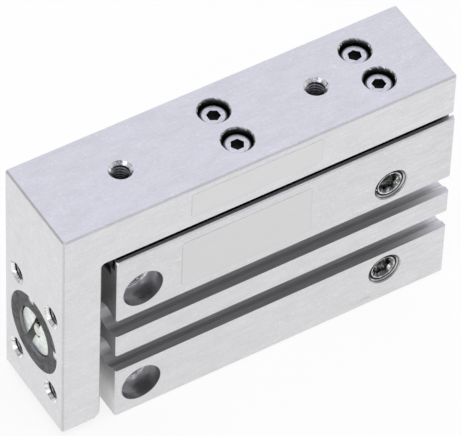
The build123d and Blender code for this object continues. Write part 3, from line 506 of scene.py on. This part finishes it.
def bright_cut_metal(name, base, bores):
    """Bright cut metal with a faint grain, whose holes, sockets or turns carry painted shade and highlights
    that change with the depth.
    """
    material, tree = new_material(name)
    grain = stretched_noise(tree, (0.25, 0.25, 0.25), detail=2.0, softness=0.6)
    tone = add_node(tree, "ShaderNodeMapRange", inputs={
        "Value": grain, "From Min": 0.3, "From Max": 0.7, "To Min": 0.94, "To Max": 1.05})
    shade = add_node(tree, "ShaderNodeMath", {"operation": "MULTIPLY"}, {
        0: tone.outputs["Result"], 1: recess_shade(tree, reach_mm=1.1, darkest=0.1, open_at=0.5)})
    look = (shade.outputs[0], 0.28, add_node(tree, "ShaderNodeNewGeometry").outputs["Normal"])
    for bore in bores:
        look = bore_marks_and_painted_light(tree, look, **bore)
    shade, roughness, normal = look
    colour = add_node(tree, "ShaderNodeVectorMath", {"operation": "SCALE"}, {
        0: srgb(base)[:3], "Scale": shade})
    bump = add_node(tree, "ShaderNodeBump", inputs={
        "Strength": 0.15, "Distance": 0.01 * MM, "Height": grain, "Normal": normal})
    metal = add_node(tree, "ShaderNodeBsdfPrincipled", inputs={
        "Base Color": colour.outputs[0], "Metallic": 1.0, "Roughness": roughness, "Normal": bump.outputs[0]})
    add_node(tree, "ShaderNodeOutputMaterial", inputs={"Surface": metal.outputs[0]})
    return material


def plain_metal(name, base, roughness, grain_mm, tone_spread, reach_mm, darkest):
    """A bare or plated metal whose tool marks or grain have the given size."""
    material, tree = new_material(name)
    marks = stretched_noise(tree, grain_mm, detail=3.0, softness=0.6)
    tone = add_node(tree, "ShaderNodeMapRange", inputs={
        "Value": marks, "From Min": 0.25, "From Max": 0.75,
        "To Min": 1 - tone_spread, "To Max": 1 + tone_spread})
    shade = add_node(tree, "ShaderNodeMath", {"operation": "MULTIPLY"}, {
        0: tone.outputs["Result"], 1: recess_shade(tree, reach_mm, darkest, open_at=0.5)})
    colour = add_node(tree, "ShaderNodeVectorMath", {"operation": "SCALE"}, {
        0: srgb(base)[:3], "Scale": shade.outputs[0]})
    gloss = add_node(tree, "ShaderNodeMapRange", inputs={
        "Value": marks, "From Min": 0.25, "From Max": 0.75, "To Min": roughness[0], "To Max": roughness[1]})
    bump = add_node(tree, "ShaderNodeBump", inputs={
        "Strength": 0.15, "Distance": 0.01 * MM, "Height": marks})
    metal = add_node(tree, "ShaderNodeBsdfPrincipled", inputs={
        "Base Color": colour.outputs[0], "Metallic": 1.0, "Roughness": gloss.outputs["Result"],
        "Normal": bump.outputs[0]})
    add_node(tree, "ShaderNodeOutputMaterial", inputs={"Surface": metal.outputs[0]})
    return material


def notched_ring_steel(name, base, bore, bare):
    """Blackened steel with a cloudy oxide skin, with painted light on the walls round the bore, a
    painted highlight towards the outer rim and painted highlights on the notches' walls."""
    material, tree = new_material(name)
    distance = hole_frame(tree, (0, 0, CYLINDER_HEIGHT), (0, 0, 0), FORWARD)[0]
    outer = add_node(tree, "ShaderNodeMath", {"operation": "GREATER_THAN"}, {
        0: distance, 1: RING_NOTCH_RADIUS * MM})
    sides = add_node(tree, "ShaderNodeSeparateXYZ", inputs={
        0: add_node(tree, "ShaderNodeNewGeometry").outputs["True Normal"]})
    flat = add_node(tree, "ShaderNodeMath", {"operation": "ABSOLUTE"}, {0: sides.outputs["X"]})
    wall = add_node(tree, "ShaderNodeMath", {"operation": "LESS_THAN"}, {0: flat.outputs[0], 1: 0.5})
    cut = add_node(tree, "ShaderNodeMath", {"operation": "MULTIPLY"}, {
        0: outer.outputs[0], 1: wall.outputs[0]})
    skin = stretched_noise(tree, (1.4, 1.3, 0.8), detail=3.0, softness=0.65)
    skin_tone = add_node(tree, "ShaderNodeMapRange", inputs={
        "Value": skin, "From Min": 0.38, "From Max": 0.62, "To Min": 0.1, "To Max": 1.9})
    # Painted highlight towards the outer rim
    rim = add_node(tree, "ShaderNodeMapRange", inputs={
        "Value": distance, "From Min": (RING_RADIUS - 0.45) * MM, "From Max": (RING_RADIUS - 0.15) * MM,
        "To Min": 1.0, "To Max": 1.45})
    shade = add_node(tree, "ShaderNodeMath", {"operation": "MULTIPLY"}, {
        0: skin_tone.outputs["Result"], 1: rim.outputs["Result"]})
    dark = add_node(tree, "ShaderNodeVectorMath", {"operation": "SCALE"}, {
        0: srgb(base)[:3], "Scale": shade.outputs[0]})
    # Painted light on the walls across the axis, and a painted highlight on the outer and notch walls
    dark = add_node(tree, "ShaderNodeMix", {"data_type": "RGBA"}, {
        0: wall.outputs[0], 6: dark.outputs[0], 7: srgb(bore)})
    colour = add_node(tree, "ShaderNodeMix", {"data_type": "RGBA"}, {
        0: cut.outputs[0], 6: dark.outputs[2], 7: srgb(bare)})
    roughness = add_node(tree, "ShaderNodeMapRange", inputs={"Value": skin, "To Min": 0.34, "To Max": 0.5})
    bump = add_node(tree, "ShaderNodeBump", inputs={
        "Strength": 0.15, "Distance": 0.01 * MM, "Height": skin})
    metal = add_node(tree, "ShaderNodeBsdfPrincipled", inputs={
        "Base Color": colour.outputs[2], "Metallic": 1.0, "Roughness": roughness.outputs["Result"],
        "Normal": bump.outputs[0]})
    add_node(tree, "ShaderNodeOutputMaterial", inputs={"Surface": metal.outputs[0]})
    return material


def slotted_end_steel(name, base, slot_end_shade):
    """Bright zinc-plated steel with a soft cloudy sheen, and painted shade in one end of its slot."""
    # The painted shade sets in below the head's face and towards the near side, in mm along X and Y
    shade_depth = (-29.7, -29.4)
    shade_side = (-0.6, -1.8)
    material, tree = new_material(name)
    place = add_node(tree, "ShaderNodeTexCoord").outputs["Object"]
    parts = add_node(tree, "ShaderNodeSeparateXYZ", inputs={0: place})
    clouds = stretched_noise(tree, (0.8, 0.8, 1.1), detail=3.0, softness=0.6)
    tone = add_node(tree, "ShaderNodeMapRange", inputs={
        "Value": clouds, "From Min": 0.3, "From Max": 0.7, "To Min": 0.70, "To Max": 1.08})
    shade = add_node(tree, "ShaderNodeMath", {"operation": "MULTIPLY"}, {
        0: tone.outputs["Result"], 1: recess_shade(tree, reach_mm=1.2, darkest=0.75, open_at=0.45)})
    bright = add_node(tree, "ShaderNodeVectorMath", {"operation": "SCALE"}, {
        0: srgb(base)[:3], "Scale": shade.outputs[0]})
    deep = add_node(tree, "ShaderNodeMapRange", inputs={
        "Value": parts.outputs["X"], "From Min": shade_depth[0] * MM, "From Max": shade_depth[1] * MM,
        "To Min": 0.0, "To Max": 1.0})
    near_end = add_node(tree, "ShaderNodeMapRange", inputs={
        "Value": parts.outputs["Y"], "From Min": shade_side[0] * MM, "From Max": shade_side[1] * MM,
        "To Min": 0.0, "To Max": 1.0})
    shaded_end = add_node(tree, "ShaderNodeMath", {"operation": "MULTIPLY"}, {
        0: deep.outputs["Result"], 1: near_end.outputs["Result"]})
    shade_tint = add_node(tree, "ShaderNodeVectorMath", {"operation": "SCALE"}, {
        0: srgb(slot_end_shade)[:3], "Scale": tone.outputs["Result"]})
    colour = add_node(tree, "ShaderNodeMix", {"data_type": "RGBA"}, {
        0: shaded_end.outputs[0], 6: bright.outputs[0], 7: shade_tint.outputs[0]})
    roughness = add_node(tree, "ShaderNodeMapRange", inputs={"Value": clouds, "To Min": 0.2, "To Max": 0.42})
    bump = add_node(tree, "ShaderNodeBump", inputs={
        "Strength": 0.2, "Distance": 0.01 * MM, "Height": clouds})
    metal = add_node(tree, "ShaderNodeBsdfPrincipled", inputs={
        "Base Color": colour.outputs[2], "Metallic": 1.0, "Roughness": roughness.outputs["Result"],
        "Normal": bump.outputs[0]})
    add_node(tree, "ShaderNodeOutputMaterial", inputs={"Surface": metal.outputs[0]})
    return material


def dull_solid(name, base, roughness, grain_mm, tone_spread):
    """A surface that isn't metal, such as rubber or a pressed magnet, with a fine moulded grain."""
    material, tree = new_material(name)
    grain = stretched_noise(tree, grain_mm, detail=2.0, softness=0.6)
    tone = add_node(tree, "ShaderNodeMapRange", inputs={
        "Value": grain, "From Min": 0.25, "From Max": 0.75,
        "To Min": 1 - tone_spread, "To Max": 1 + tone_spread})
    colour = add_node(tree, "ShaderNodeVectorMath", {"operation": "SCALE"}, {
        0: srgb(base)[:3], "Scale": tone.outputs["Result"]})
    bump = add_node(tree, "ShaderNodeBump", inputs={
        "Strength": 0.25, "Distance": 0.01 * MM, "Height": grain})
    solid = add_node(tree, "ShaderNodeBsdfPrincipled", inputs={
        "Base Color": colour.outputs[0], "Roughness": roughness, "Normal": bump.outputs[0]})
    add_node(tree, "ShaderNodeOutputMaterial", inputs={"Surface": solid.outputs[0]})
    return material


# Holes, sockets and turns: a painted bright rim, painted shade inside, and painted bands of shade and light
# where chamfer, wall and gap meet
LOAD_THREAD = dict(
    radius=1.73, reach=6.2, rim=(0.38, 0.46, 1.15, 0.35), deep=(0.5, 0.9, 1.0, 0.25),
    marks=(0.35, 1.0), spread=(0.3, 0.47), gloss=0.22, ring=0.6, patch=1.2, spokes=3.5,
    bands=((1.20, 1.0), (1.28, 1.0), (1.33, 0.6), (1.40, 1.0), (1.64, 1.0), (1.69, 0.75), (1.73, 1.0)),
    glints=(0.0, 0.45, 1.35, 0.60))
LOAD_THREAD_TURNS = LOAD_THREAD | dict(
    radius=2.0, rim=(0.4, 0.8, 0.45, 0.24), deep=(0.8, 2.2, 1.0, 0.3), marks=(0.8, 1.2),
    bands=None, glints=None)
SUPPLY_PORT = SUPPLY_PORTS | dict(
    mouth=HOUSING_HALF_WIDTH, radius=2.63, reach=6.0, rim=(0.0, 0.5, 0.95, 0.95),
    deep=(0.5, 3.0, 1.0, 0.3), marks=(0.7, 1.1), gloss=0.25,
    bands=((2.10, 0.1), (2.19, 0.1), (2.24, 1.0), (2.31, 1.0), (2.36, 0.2), (2.42, 0.25), (2.48, 0.8),
           (2.63, 0.9)))
table_bores = [
    TABLE_THREADS | LOAD_THREAD,
    YOKE_THREADS | LOAD_THREAD,
    TABLE_SCREWS | dict(
        mouth=TABLE_TOP, radius=2.37, reach=3.2, rim=(0.03, 0.15, 0.8, 0.2), deep=(0.8, 2.2, 1.0, 0.3),
        marks=(0.5, 1.3), gloss=0.3, ring=0.3, patch=1.0, spokes=3.0, glints=(0.0, 0.22, 1.3, 0.60)),
]
housing_bores = [
    SUPPLY_PORT | dict(axis=NEAR_SIDE),
    SUPPLY_PORT | dict(axis=FAR_SIDE),
    MOUNTING_BORES | dict(
        radius=3.06, reach=3.6, rim=(0.0, 0.9, 0.54, 0.66), deep=(0.9, 1.8, 1.0, 2.0),
        marks=(0.92, 1.08), gloss=0.3, ring=0.5, spokes=1.0, glints=(3.0, 3.5, 1.4, 0.62),
        bands=((1.6, 0.3), (2.3, 0.22), (2.56, 0.22), (2.62, 0.9), (2.68, 0.25), (2.84, 0.25),
               (2.9, 0.9), (2.95, 0.5), (2.985, 1.0), (3.06, 1.0))),
]
screw_bores = [
    # The head's turned face, with painted shade at its edge and in its socket
    TABLE_SCREWS | dict(
        mouth=SCREW_HEAD_FACE, radius=1.95, reach=3.0, rim=(0.0, 0.2, 1.0, 0.12), deep=(0.3, 1.1, 1.0, 0.9),
        marks=(0.70, 1.14), gloss=0.3, patch=0.5,
        bands=((0.5, 1.0), (1.54, 1.0), (1.64, 0.2), (1.95, 0.1))),
]
plug_bores = [
    # Painted black shade in the gap round the plug, its rim, the bowl and the socket in it, with painted
    # glints
    SUPPLY_PORTS | dict(
        axis=NEAR_SIDE, mouth=PLUG_FACE, radius=2.2, reach=4.0, rim=(0.0, 0.12, 1.0, 0.32),
        deep=(0.7, 1.1, 1.0, 2.7), marks=(0.25, 1.25), gloss=0.12, patch=1.4, ring=0.9, spokes=1.6,
        bands=((1.60, 1.0), (1.72, 0.9), (1.80, 1.0), (1.87, 1.0), (1.91, 0.04), (2.20, 0.04)),
        glints=(0.1, 1.6, 1.3, 0.62)),
]
load_thread_turns = [TABLE_THREADS | LOAD_THREAD_TURNS, YOKE_THREADS | LOAD_THREAD_TURNS]
supply_thread_turns = [
    SUPPLY_PORT | dict(
        axis=FAR_SIDE, rim=(0.4, 1.4, 0.8, 0.4), deep=(1.4, 4.0, 1.0, 0.2), marks=(0.8, 1.2), bands=None),
]

# The material of each CAD node. Lines of turning, grinding and rolling, and the grain of moulded
# rubber, are finer on the real pieces: the sizes here are large enough to show in the render.
finishes = [
    (milled_aluminium("fine_milled_aluminium_table", "#DFDEDF", painted_edge_tones=(0.98, 0.83), bores=table_bores,
                      slotted=False),
     ("table",)),
    (milled_aluminium("fine_milled_aluminium_housing", "#DBDADB", painted_edge_tones=(1.1, 0.97), bores=housing_bores,
                      slotted=True),
     ("housing",)),
    # Pale metal with a lathe's rings across the stroke
    (plain_metal("turned_aluminium", "#D6D6DA", roughness=(0.25, 0.38), grain_mm=(0.12, 3.0, 3.0),
                 tone_spread=0.05, reach_mm=2.0, darkest=0.3),
     ("rear_cap", "piston_front", "piston_rear")),
    # Grey and shiny, with long straight grinding lines along the stroke
    (plain_metal("ground_hardened_steel", "#B2B2B6", roughness=(0.22, 0.34), grain_mm=(9.0, 0.12, 0.12),
                 tone_spread=0.06, reach_mm=2.0, darkest=0.3),
     ("carriage", "guide_rail")),
    # Mirror bright and nearly even
    (plain_metal("polished_ball_steel", "#D2D2D6", roughness=(0.05, 0.10), grain_mm=(0.4, 0.4, 0.4),
                 tone_spread=0.02, reach_mm=1.0, darkest=0.4),
     ("guide_balls_near", "guide_balls_far", "air_duct_balls")),
    # Yellow metal with the sheet's rolling lines along the strip
    (plain_metal("stamped_brass", "#D6B36A", roughness=(0.25, 0.40), grain_mm=(2.0, 0.3, 0.3),
                 tone_spread=0.06, reach_mm=1.0, darkest=0.4),
     ("ball_cage_near", "ball_cage_far")),
    # Bright heads with painted shade at the edge and darker painted shade in the hexagon
    (bright_cut_metal("rolled_stainless_socket_screw", "#E8E8EA", screw_bores), ("carriage_screws",)),
    # The same steel, hidden under the table, without the heads' painted edge shade
    (plain_metal("rolled_stainless_screw_steel", "#D2D2D8", roughness=(0.22, 0.34),
                 grain_mm=(0.25, 0.25, 0.25), tone_spread=0.06, reach_mm=1.1, darkest=0.1),
     ("guide_rail_screws",)),
    # Glossy rim and bowl with broad painted patches of light and dark
    (bright_cut_metal("turned_stainless_plug", "#D8DAD8", plug_bores),
     ("port_plug_upper", "port_plug_lower")),
    # Brown metal with a lathe's rings across the stroke
    (plain_metal("turned_bearing_bronze", "#B58A58", roughness=(0.28, 0.42), grain_mm=(0.12, 3.0, 3.0),
                 tone_spread=0.05, reach_mm=2.0, darkest=0.3),
     ("rod_bearing",)),
    # Bright warm metal, smooth, with hardly any lines round it
    (plain_metal("ground_chromed_rod", "#D6D3CC", roughness=(0.10, 0.18), grain_mm=(0.1, 2.0, 2.0),
                 tone_spread=0.03, reach_mm=1.5, darkest=0.3),
     ("piston_rod",)),
    # The rod end's dark brown is painted shade in one end of its slot
    (slotted_end_steel("bright_zinc_plated_steel", base="#ECF2EC", slot_end_shade="#4A4038"), ("rod_end",)),
    # The ring nut's light grey bore is painted light and its near-white notches are painted highlights
    (notched_ring_steel("blackened_steel", base="#424143", bore="#A8A8AA", bare="#E8E8EA"), ("ring_nut",)),
    # Dark grey with a dull grain
    (plain_metal("phosphated_spring_steel", "#5A5A5E", roughness=(0.40, 0.55), grain_mm=(0.3, 0.3, 0.3),
                 tone_spread=0.10, reach_mm=1.0, darkest=0.3),
     ("front_retaining_ring", "rear_retaining_ring")),
    # Almost black and dull, like fired clay
    (dull_solid("pressed_ferrite_magnet", "#2E2E30", roughness=0.6, grain_mm=(0.3, 0.3, 0.3),
                tone_spread=0.1),
     ("piston_magnet",)),
    # Black with a slight sheen
    (dull_solid("moulded_black_nitrile_rubber", "#1E1E1F", roughness=0.5, grain_mm=(0.2, 0.2, 0.2),
                tone_spread=0.1),
     ("rod_bearing_seal", "rod_seal", "rear_cap_seal", "piston_seals")),
    # Dark grey and dull
    (dull_solid("moulded_grey_cushion_rubber", "#4A4A4E", roughness=0.6, grain_mm=(0.25, 0.25, 0.25),
                tone_spread=0.1),
     ("front_bumper", "rear_bumper")),
]
for material, node_names in finishes:
    for node_name in node_names:
        for material_slot in nodes[node_name].material_slots:
            material_slot.link = "OBJECT"
            material_slot.material = material


# Thread turns

def thread_turns(name, core_diameter, pitch, length, crest_height, crest_width):
    """The turns of an inside thread along +X from the origin, in mm, rooted in the bore's wall."""
    root = 0.03
    steps_per_turn = 28
    reach = crest_height + root
    bpy.ops.object.select_all(action="DESELECT")
    bpy.ops.mesh.primitive_circle_add(vertices=3, radius=1.0, fill_type="NOTHING", location=(0, 0, 0))
    turns = bpy.context.active_object
    turns.name = name
    # The circle's three corners become the flanks, 1.5 high and 1.732 wide before they are scaled
    turns.scale = (crest_width * MM / 1.732, reach * MM / 1.5, 1)
    turns.location = (crest_width * MM / 2, -(core_diameter / 2 + root - reach / 3) * MM, 0)
    settle(turns)
    screw = turns.modifiers.new("turns", "SCREW")
    screw.axis = "X"
    screw.angle = math.tau
    screw.screw_offset = pitch * MM
    screw.iterations = int((length - crest_width) / pitch)
    screw.steps = steps_per_turn
    screw.render_steps = steps_per_turn
    only(turns)
    bpy.ops.object.modifier_apply(modifier="turns")
    bpy.ops.object.mode_set(mode="EDIT")
    bpy.ops.mesh.select_mode(type="EDGE")
    bpy.ops.mesh.select_all(action="DESELECT")
    bpy.ops.mesh.select_non_manifold()
    bpy.ops.mesh.fill_holes(sides=3)
    bpy.ops.mesh.select_all(action="SELECT")
    bpy.ops.mesh.normals_make_consistent(inside=False)
    bpy.ops.object.mode_set(mode="OBJECT")
    bpy.ops.object.shade_smooth_by_angle(angle=math.radians(40))
    return turns


# Tapped aluminium: grey crests at the mouth, darkened by painted shade into the hole
load_thread_metal = bright_cut_metal("tapped_aluminium_load_thread", "#D8D8DC", load_thread_turns)
supply_thread_metal = bright_cut_metal("tapped_aluminium_supply_thread", "#D8D8DC", supply_thread_turns)

# The turns start under the mouth's chamfer, in mm, at the hole patterns' places, in metres
load_thread = dict(core_diameter=2.5, pitch=0.5, crest_height=0.16, crest_width=0.34)
load_thread_start = 0.45
supply_thread = dict(core_diameter=4.2, pitch=0.8, crest_height=0.26, crest_width=0.55)
supply_thread_start = 0.5
axis_height = CYLINDER_HEIGHT * MM
yoke_aside = YOKE_THREADS["half_pitch"][1] * MM
yoke_above = YOKE_THREADS["half_pitch"][2] * MM
table_middle = TABLE_THREADS["centre"][0] * MM
table_aside = TABLE_THREADS["half_pitch"][0] * MM
port_place = SUPPLY_PORTS["centre"][0] * MM
port_above = SUPPLY_PORTS["half_pitch"][2] * MM

yoke_turns = thread_turns("yoke_thread_1", length=5.2, **load_thread)
yoke_turns.location = ((load_thread_start - YOKE_FACE) * MM, -yoke_aside, axis_height + yoke_above)
settle(yoke_turns)
table_turns = thread_turns("table_thread_1", length=5.3, **load_thread)
table_turns.rotation_euler = (0, math.radians(90), 0)
table_turns.location = (table_middle - table_aside, 0, (TABLE_TOP - load_thread_start) * MM)
settle(table_turns)
port_turns = thread_turns("supply_port_thread_1", length=4.6, **supply_thread)
port_turns.rotation_euler = (0, 0, math.radians(-90))
port_turns.location = (port_place, (HOUSING_HALF_WIDTH - supply_thread_start) * MM, axis_height + port_above)
settle(port_turns)
thread_pieces = [
    (yoke_turns, "slide"),
    (twin_of(yoke_turns, "yoke_thread_2", (0, 2 * yoke_aside, 0)), "slide"),
    (twin_of(yoke_turns, "yoke_thread_3", (0, 0, -2 * yoke_above)), "slide"),
    (twin_of(yoke_turns, "yoke_thread_4", (0, 2 * yoke_aside, -2 * yoke_above)), "slide"),
    (table_turns, "slide"),
    (twin_of(table_turns, "table_thread_2", (2 * table_aside, 0, 0)), "slide"),
    (port_turns, "base"),
    (twin_of(port_turns, "supply_port_thread_2", (0, 0, -2 * port_above)), "base"),
]
for piece, body in thread_pieces:
    piece.data.materials.append(load_thread_metal if body == "slide" else supply_thread_metal)
    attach(piece, body)


# Spanner notches

def notch_floor(name, turn_degrees):
    """The steel left at the bottom of a spanner notch in the ring nut's face."""
    length = 1.8
    width = 1.18
    height = 0.8
    middle_x = -29.28
    middle_radius = 5.585
    turn = math.radians(turn_degrees)
    bpy.ops.object.select_all(action="DESELECT")
    bpy.ops.mesh.primitive_cube_add(size=1.0, location=(0, 0, 0))
    floor_piece = bpy.context.active_object
    floor_piece.name = name
    floor_piece.scale = (length * MM, height * MM, width * MM)
    settle(floor_piece)
    bpy.ops.object.mode_set(mode="EDIT")
    bpy.ops.mesh.select_all(action="SELECT")
    bpy.ops.mesh.bevel(offset=0.08 * MM, segments=2, affect="EDGES")
    bpy.ops.object.mode_set(mode="OBJECT")
    floor_piece.rotation_euler = (turn, 0, 0)
    floor_piece.location = (middle_x * MM, middle_radius * math.cos(turn) * MM,
                            (CYLINDER_HEIGHT + middle_radius * math.sin(turn)) * MM)
    settle(floor_piece)
    return floor_piece


# Near-white steel as a painted highlight, the brightest spots on the yoke's face
notch_highlight_steel = plain_metal("notch_painted_highlight_steel", "#F6F6F8", roughness=(0.3, 0.45), grain_mm=(0.4, 0.1, 0.4),
                         tone_spread=0.08, reach_mm=1.0, darkest=0.8)
for name, turn_degrees in (("spanner_notch_floor_1", 82.5), ("spanner_notch_floor_2", 172.5)):
    piece = notch_floor(name, turn_degrees)
    piece.data.materials.append(notch_highlight_steel)
    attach(piece, "slide")


# Blank films

def blank_film(name, x_range, z_range, face_y, thickness, corner):
    """A thin film with round corners on a face that looks along -Y, in mm."""
    width = (x_range[1] - x_range[0]) * MM
    height = (z_range[1] - z_range[0]) * MM
    centre = (sum(x_range) / 2 * MM, face_y * MM, sum(z_range) / 2 * MM)
    bpy.ops.object.select_all(action="DESELECT")
    bpy.ops.mesh.primitive_plane_add(size=1.0, location=centre, rotation=(math.radians(90), 0, 0))
    film = bpy.context.active_object
    film.name = name
    film.scale = (width, height, 1)
    settle(film)
    bpy.ops.object.mode_set(mode="EDIT")
    bpy.ops.mesh.select_all(action="SELECT")
    bpy.ops.mesh.bevel(offset=corner * MM, segments=5, affect="VERTICES")
    bpy.ops.object.mode_set(mode="OBJECT")
    wall = film.modifiers.new("film", "SOLIDIFY")
    wall.thickness = thickness * MM
    wall.offset = 1.0
    bpy.ops.object.modifier_apply(modifier="film")
    return film


def film_material(name, base, roughness, metallic, film_box):
    """A film left blank: one even colour with a slightly darker edge and a faint waviness."""
    edge_width = 0.14
    material, tree = new_material(name)
    (x0, x1), (z0, z1) = film_box
    place = add_node(tree, "ShaderNodeTexCoord").outputs["Object"]
    centred = add_node(tree, "ShaderNodeVectorMath", {"operation": "SUBTRACT"}, {
        0: place, 1: ((x0 + x1) / 2 * MM, 0, (z0 + z1) / 2 * MM)})
    folded = add_node(tree, "ShaderNodeVectorMath", {"operation": "ABSOLUTE"}, {0: centred.outputs[0]})
    margin = add_node(tree, "ShaderNodeVectorMath", {"operation": "SUBTRACT"}, {
        0: ((x1 - x0) / 2 * MM, 1.0, (z1 - z0) / 2 * MM), 1: folded.outputs[0]})
    parts = add_node(tree, "ShaderNodeSeparateXYZ", inputs={0: margin.outputs[0]})
    inset = add_node(tree, "ShaderNodeMath", {"operation": "MINIMUM"}, {
        0: parts.outputs["X"], 1: parts.outputs["Z"]})
    edge = add_node(tree, "ShaderNodeMapRange", inputs={
        "Value": inset.outputs[0], "From Min": 0.0, "From Max": edge_width * MM,
        "To Min": 0.86, "To Max": 1.0})
    waves = stretched_noise(tree, (5.0, 2.0, 2.0), detail=2.0, softness=0.5)
    tone = add_node(tree, "ShaderNodeMapRange", inputs={"Value": waves, "To Min": 0.98, "To Max": 1.02})
    shade = add_node(tree, "ShaderNodeMath", {"operation": "MULTIPLY"}, {
        0: edge.outputs["Result"], 1: tone.outputs["Result"]})
    colour = add_node(tree, "ShaderNodeVectorMath", {"operation": "SCALE"}, {
        0: srgb(base)[:3], "Scale": shade.outputs[0]})
    film = add_node(tree, "ShaderNodeBsdfPrincipled", inputs={
        "Base Color": colour.outputs[0], "Metallic": metallic, "Roughness": roughness})
    add_node(tree, "ShaderNodeOutputMaterial", inputs={"Surface": film.outputs[0]})
    return material


# Each film's range along X and along Z. The table's film lets its metal through and the housing's
# is silvery, so both look like the metal round them, only more even, within a thin edge.
film_thickness = 0.03
sticker_box = ((-11.0, 9.2), (33.5, 37.8))
sticker = blank_film("table_side_film", *sticker_box, face_y=-TABLE_HALF_WIDTH, thickness=film_thickness,
                     corner=0.4)
sticker.data.materials.append(film_material(
    "clear_polyester_film", "#DCDCDC", roughness=0.36, metallic=1.0, film_box=sticker_box))
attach(sticker, "slide")
label_box = ((-12.3, 7.8), (20.8, 29.2))
label = blank_film("housing_type_film", *label_box, face_y=-HOUSING_HALF_WIDTH, thickness=film_thickness,
                   corner=0.5)
label.data.materials.append(film_material(
    "silver_polyester_film", "#DADADA", roughness=0.42, metallic=1.0, film_box=label_box))
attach(label, "base")
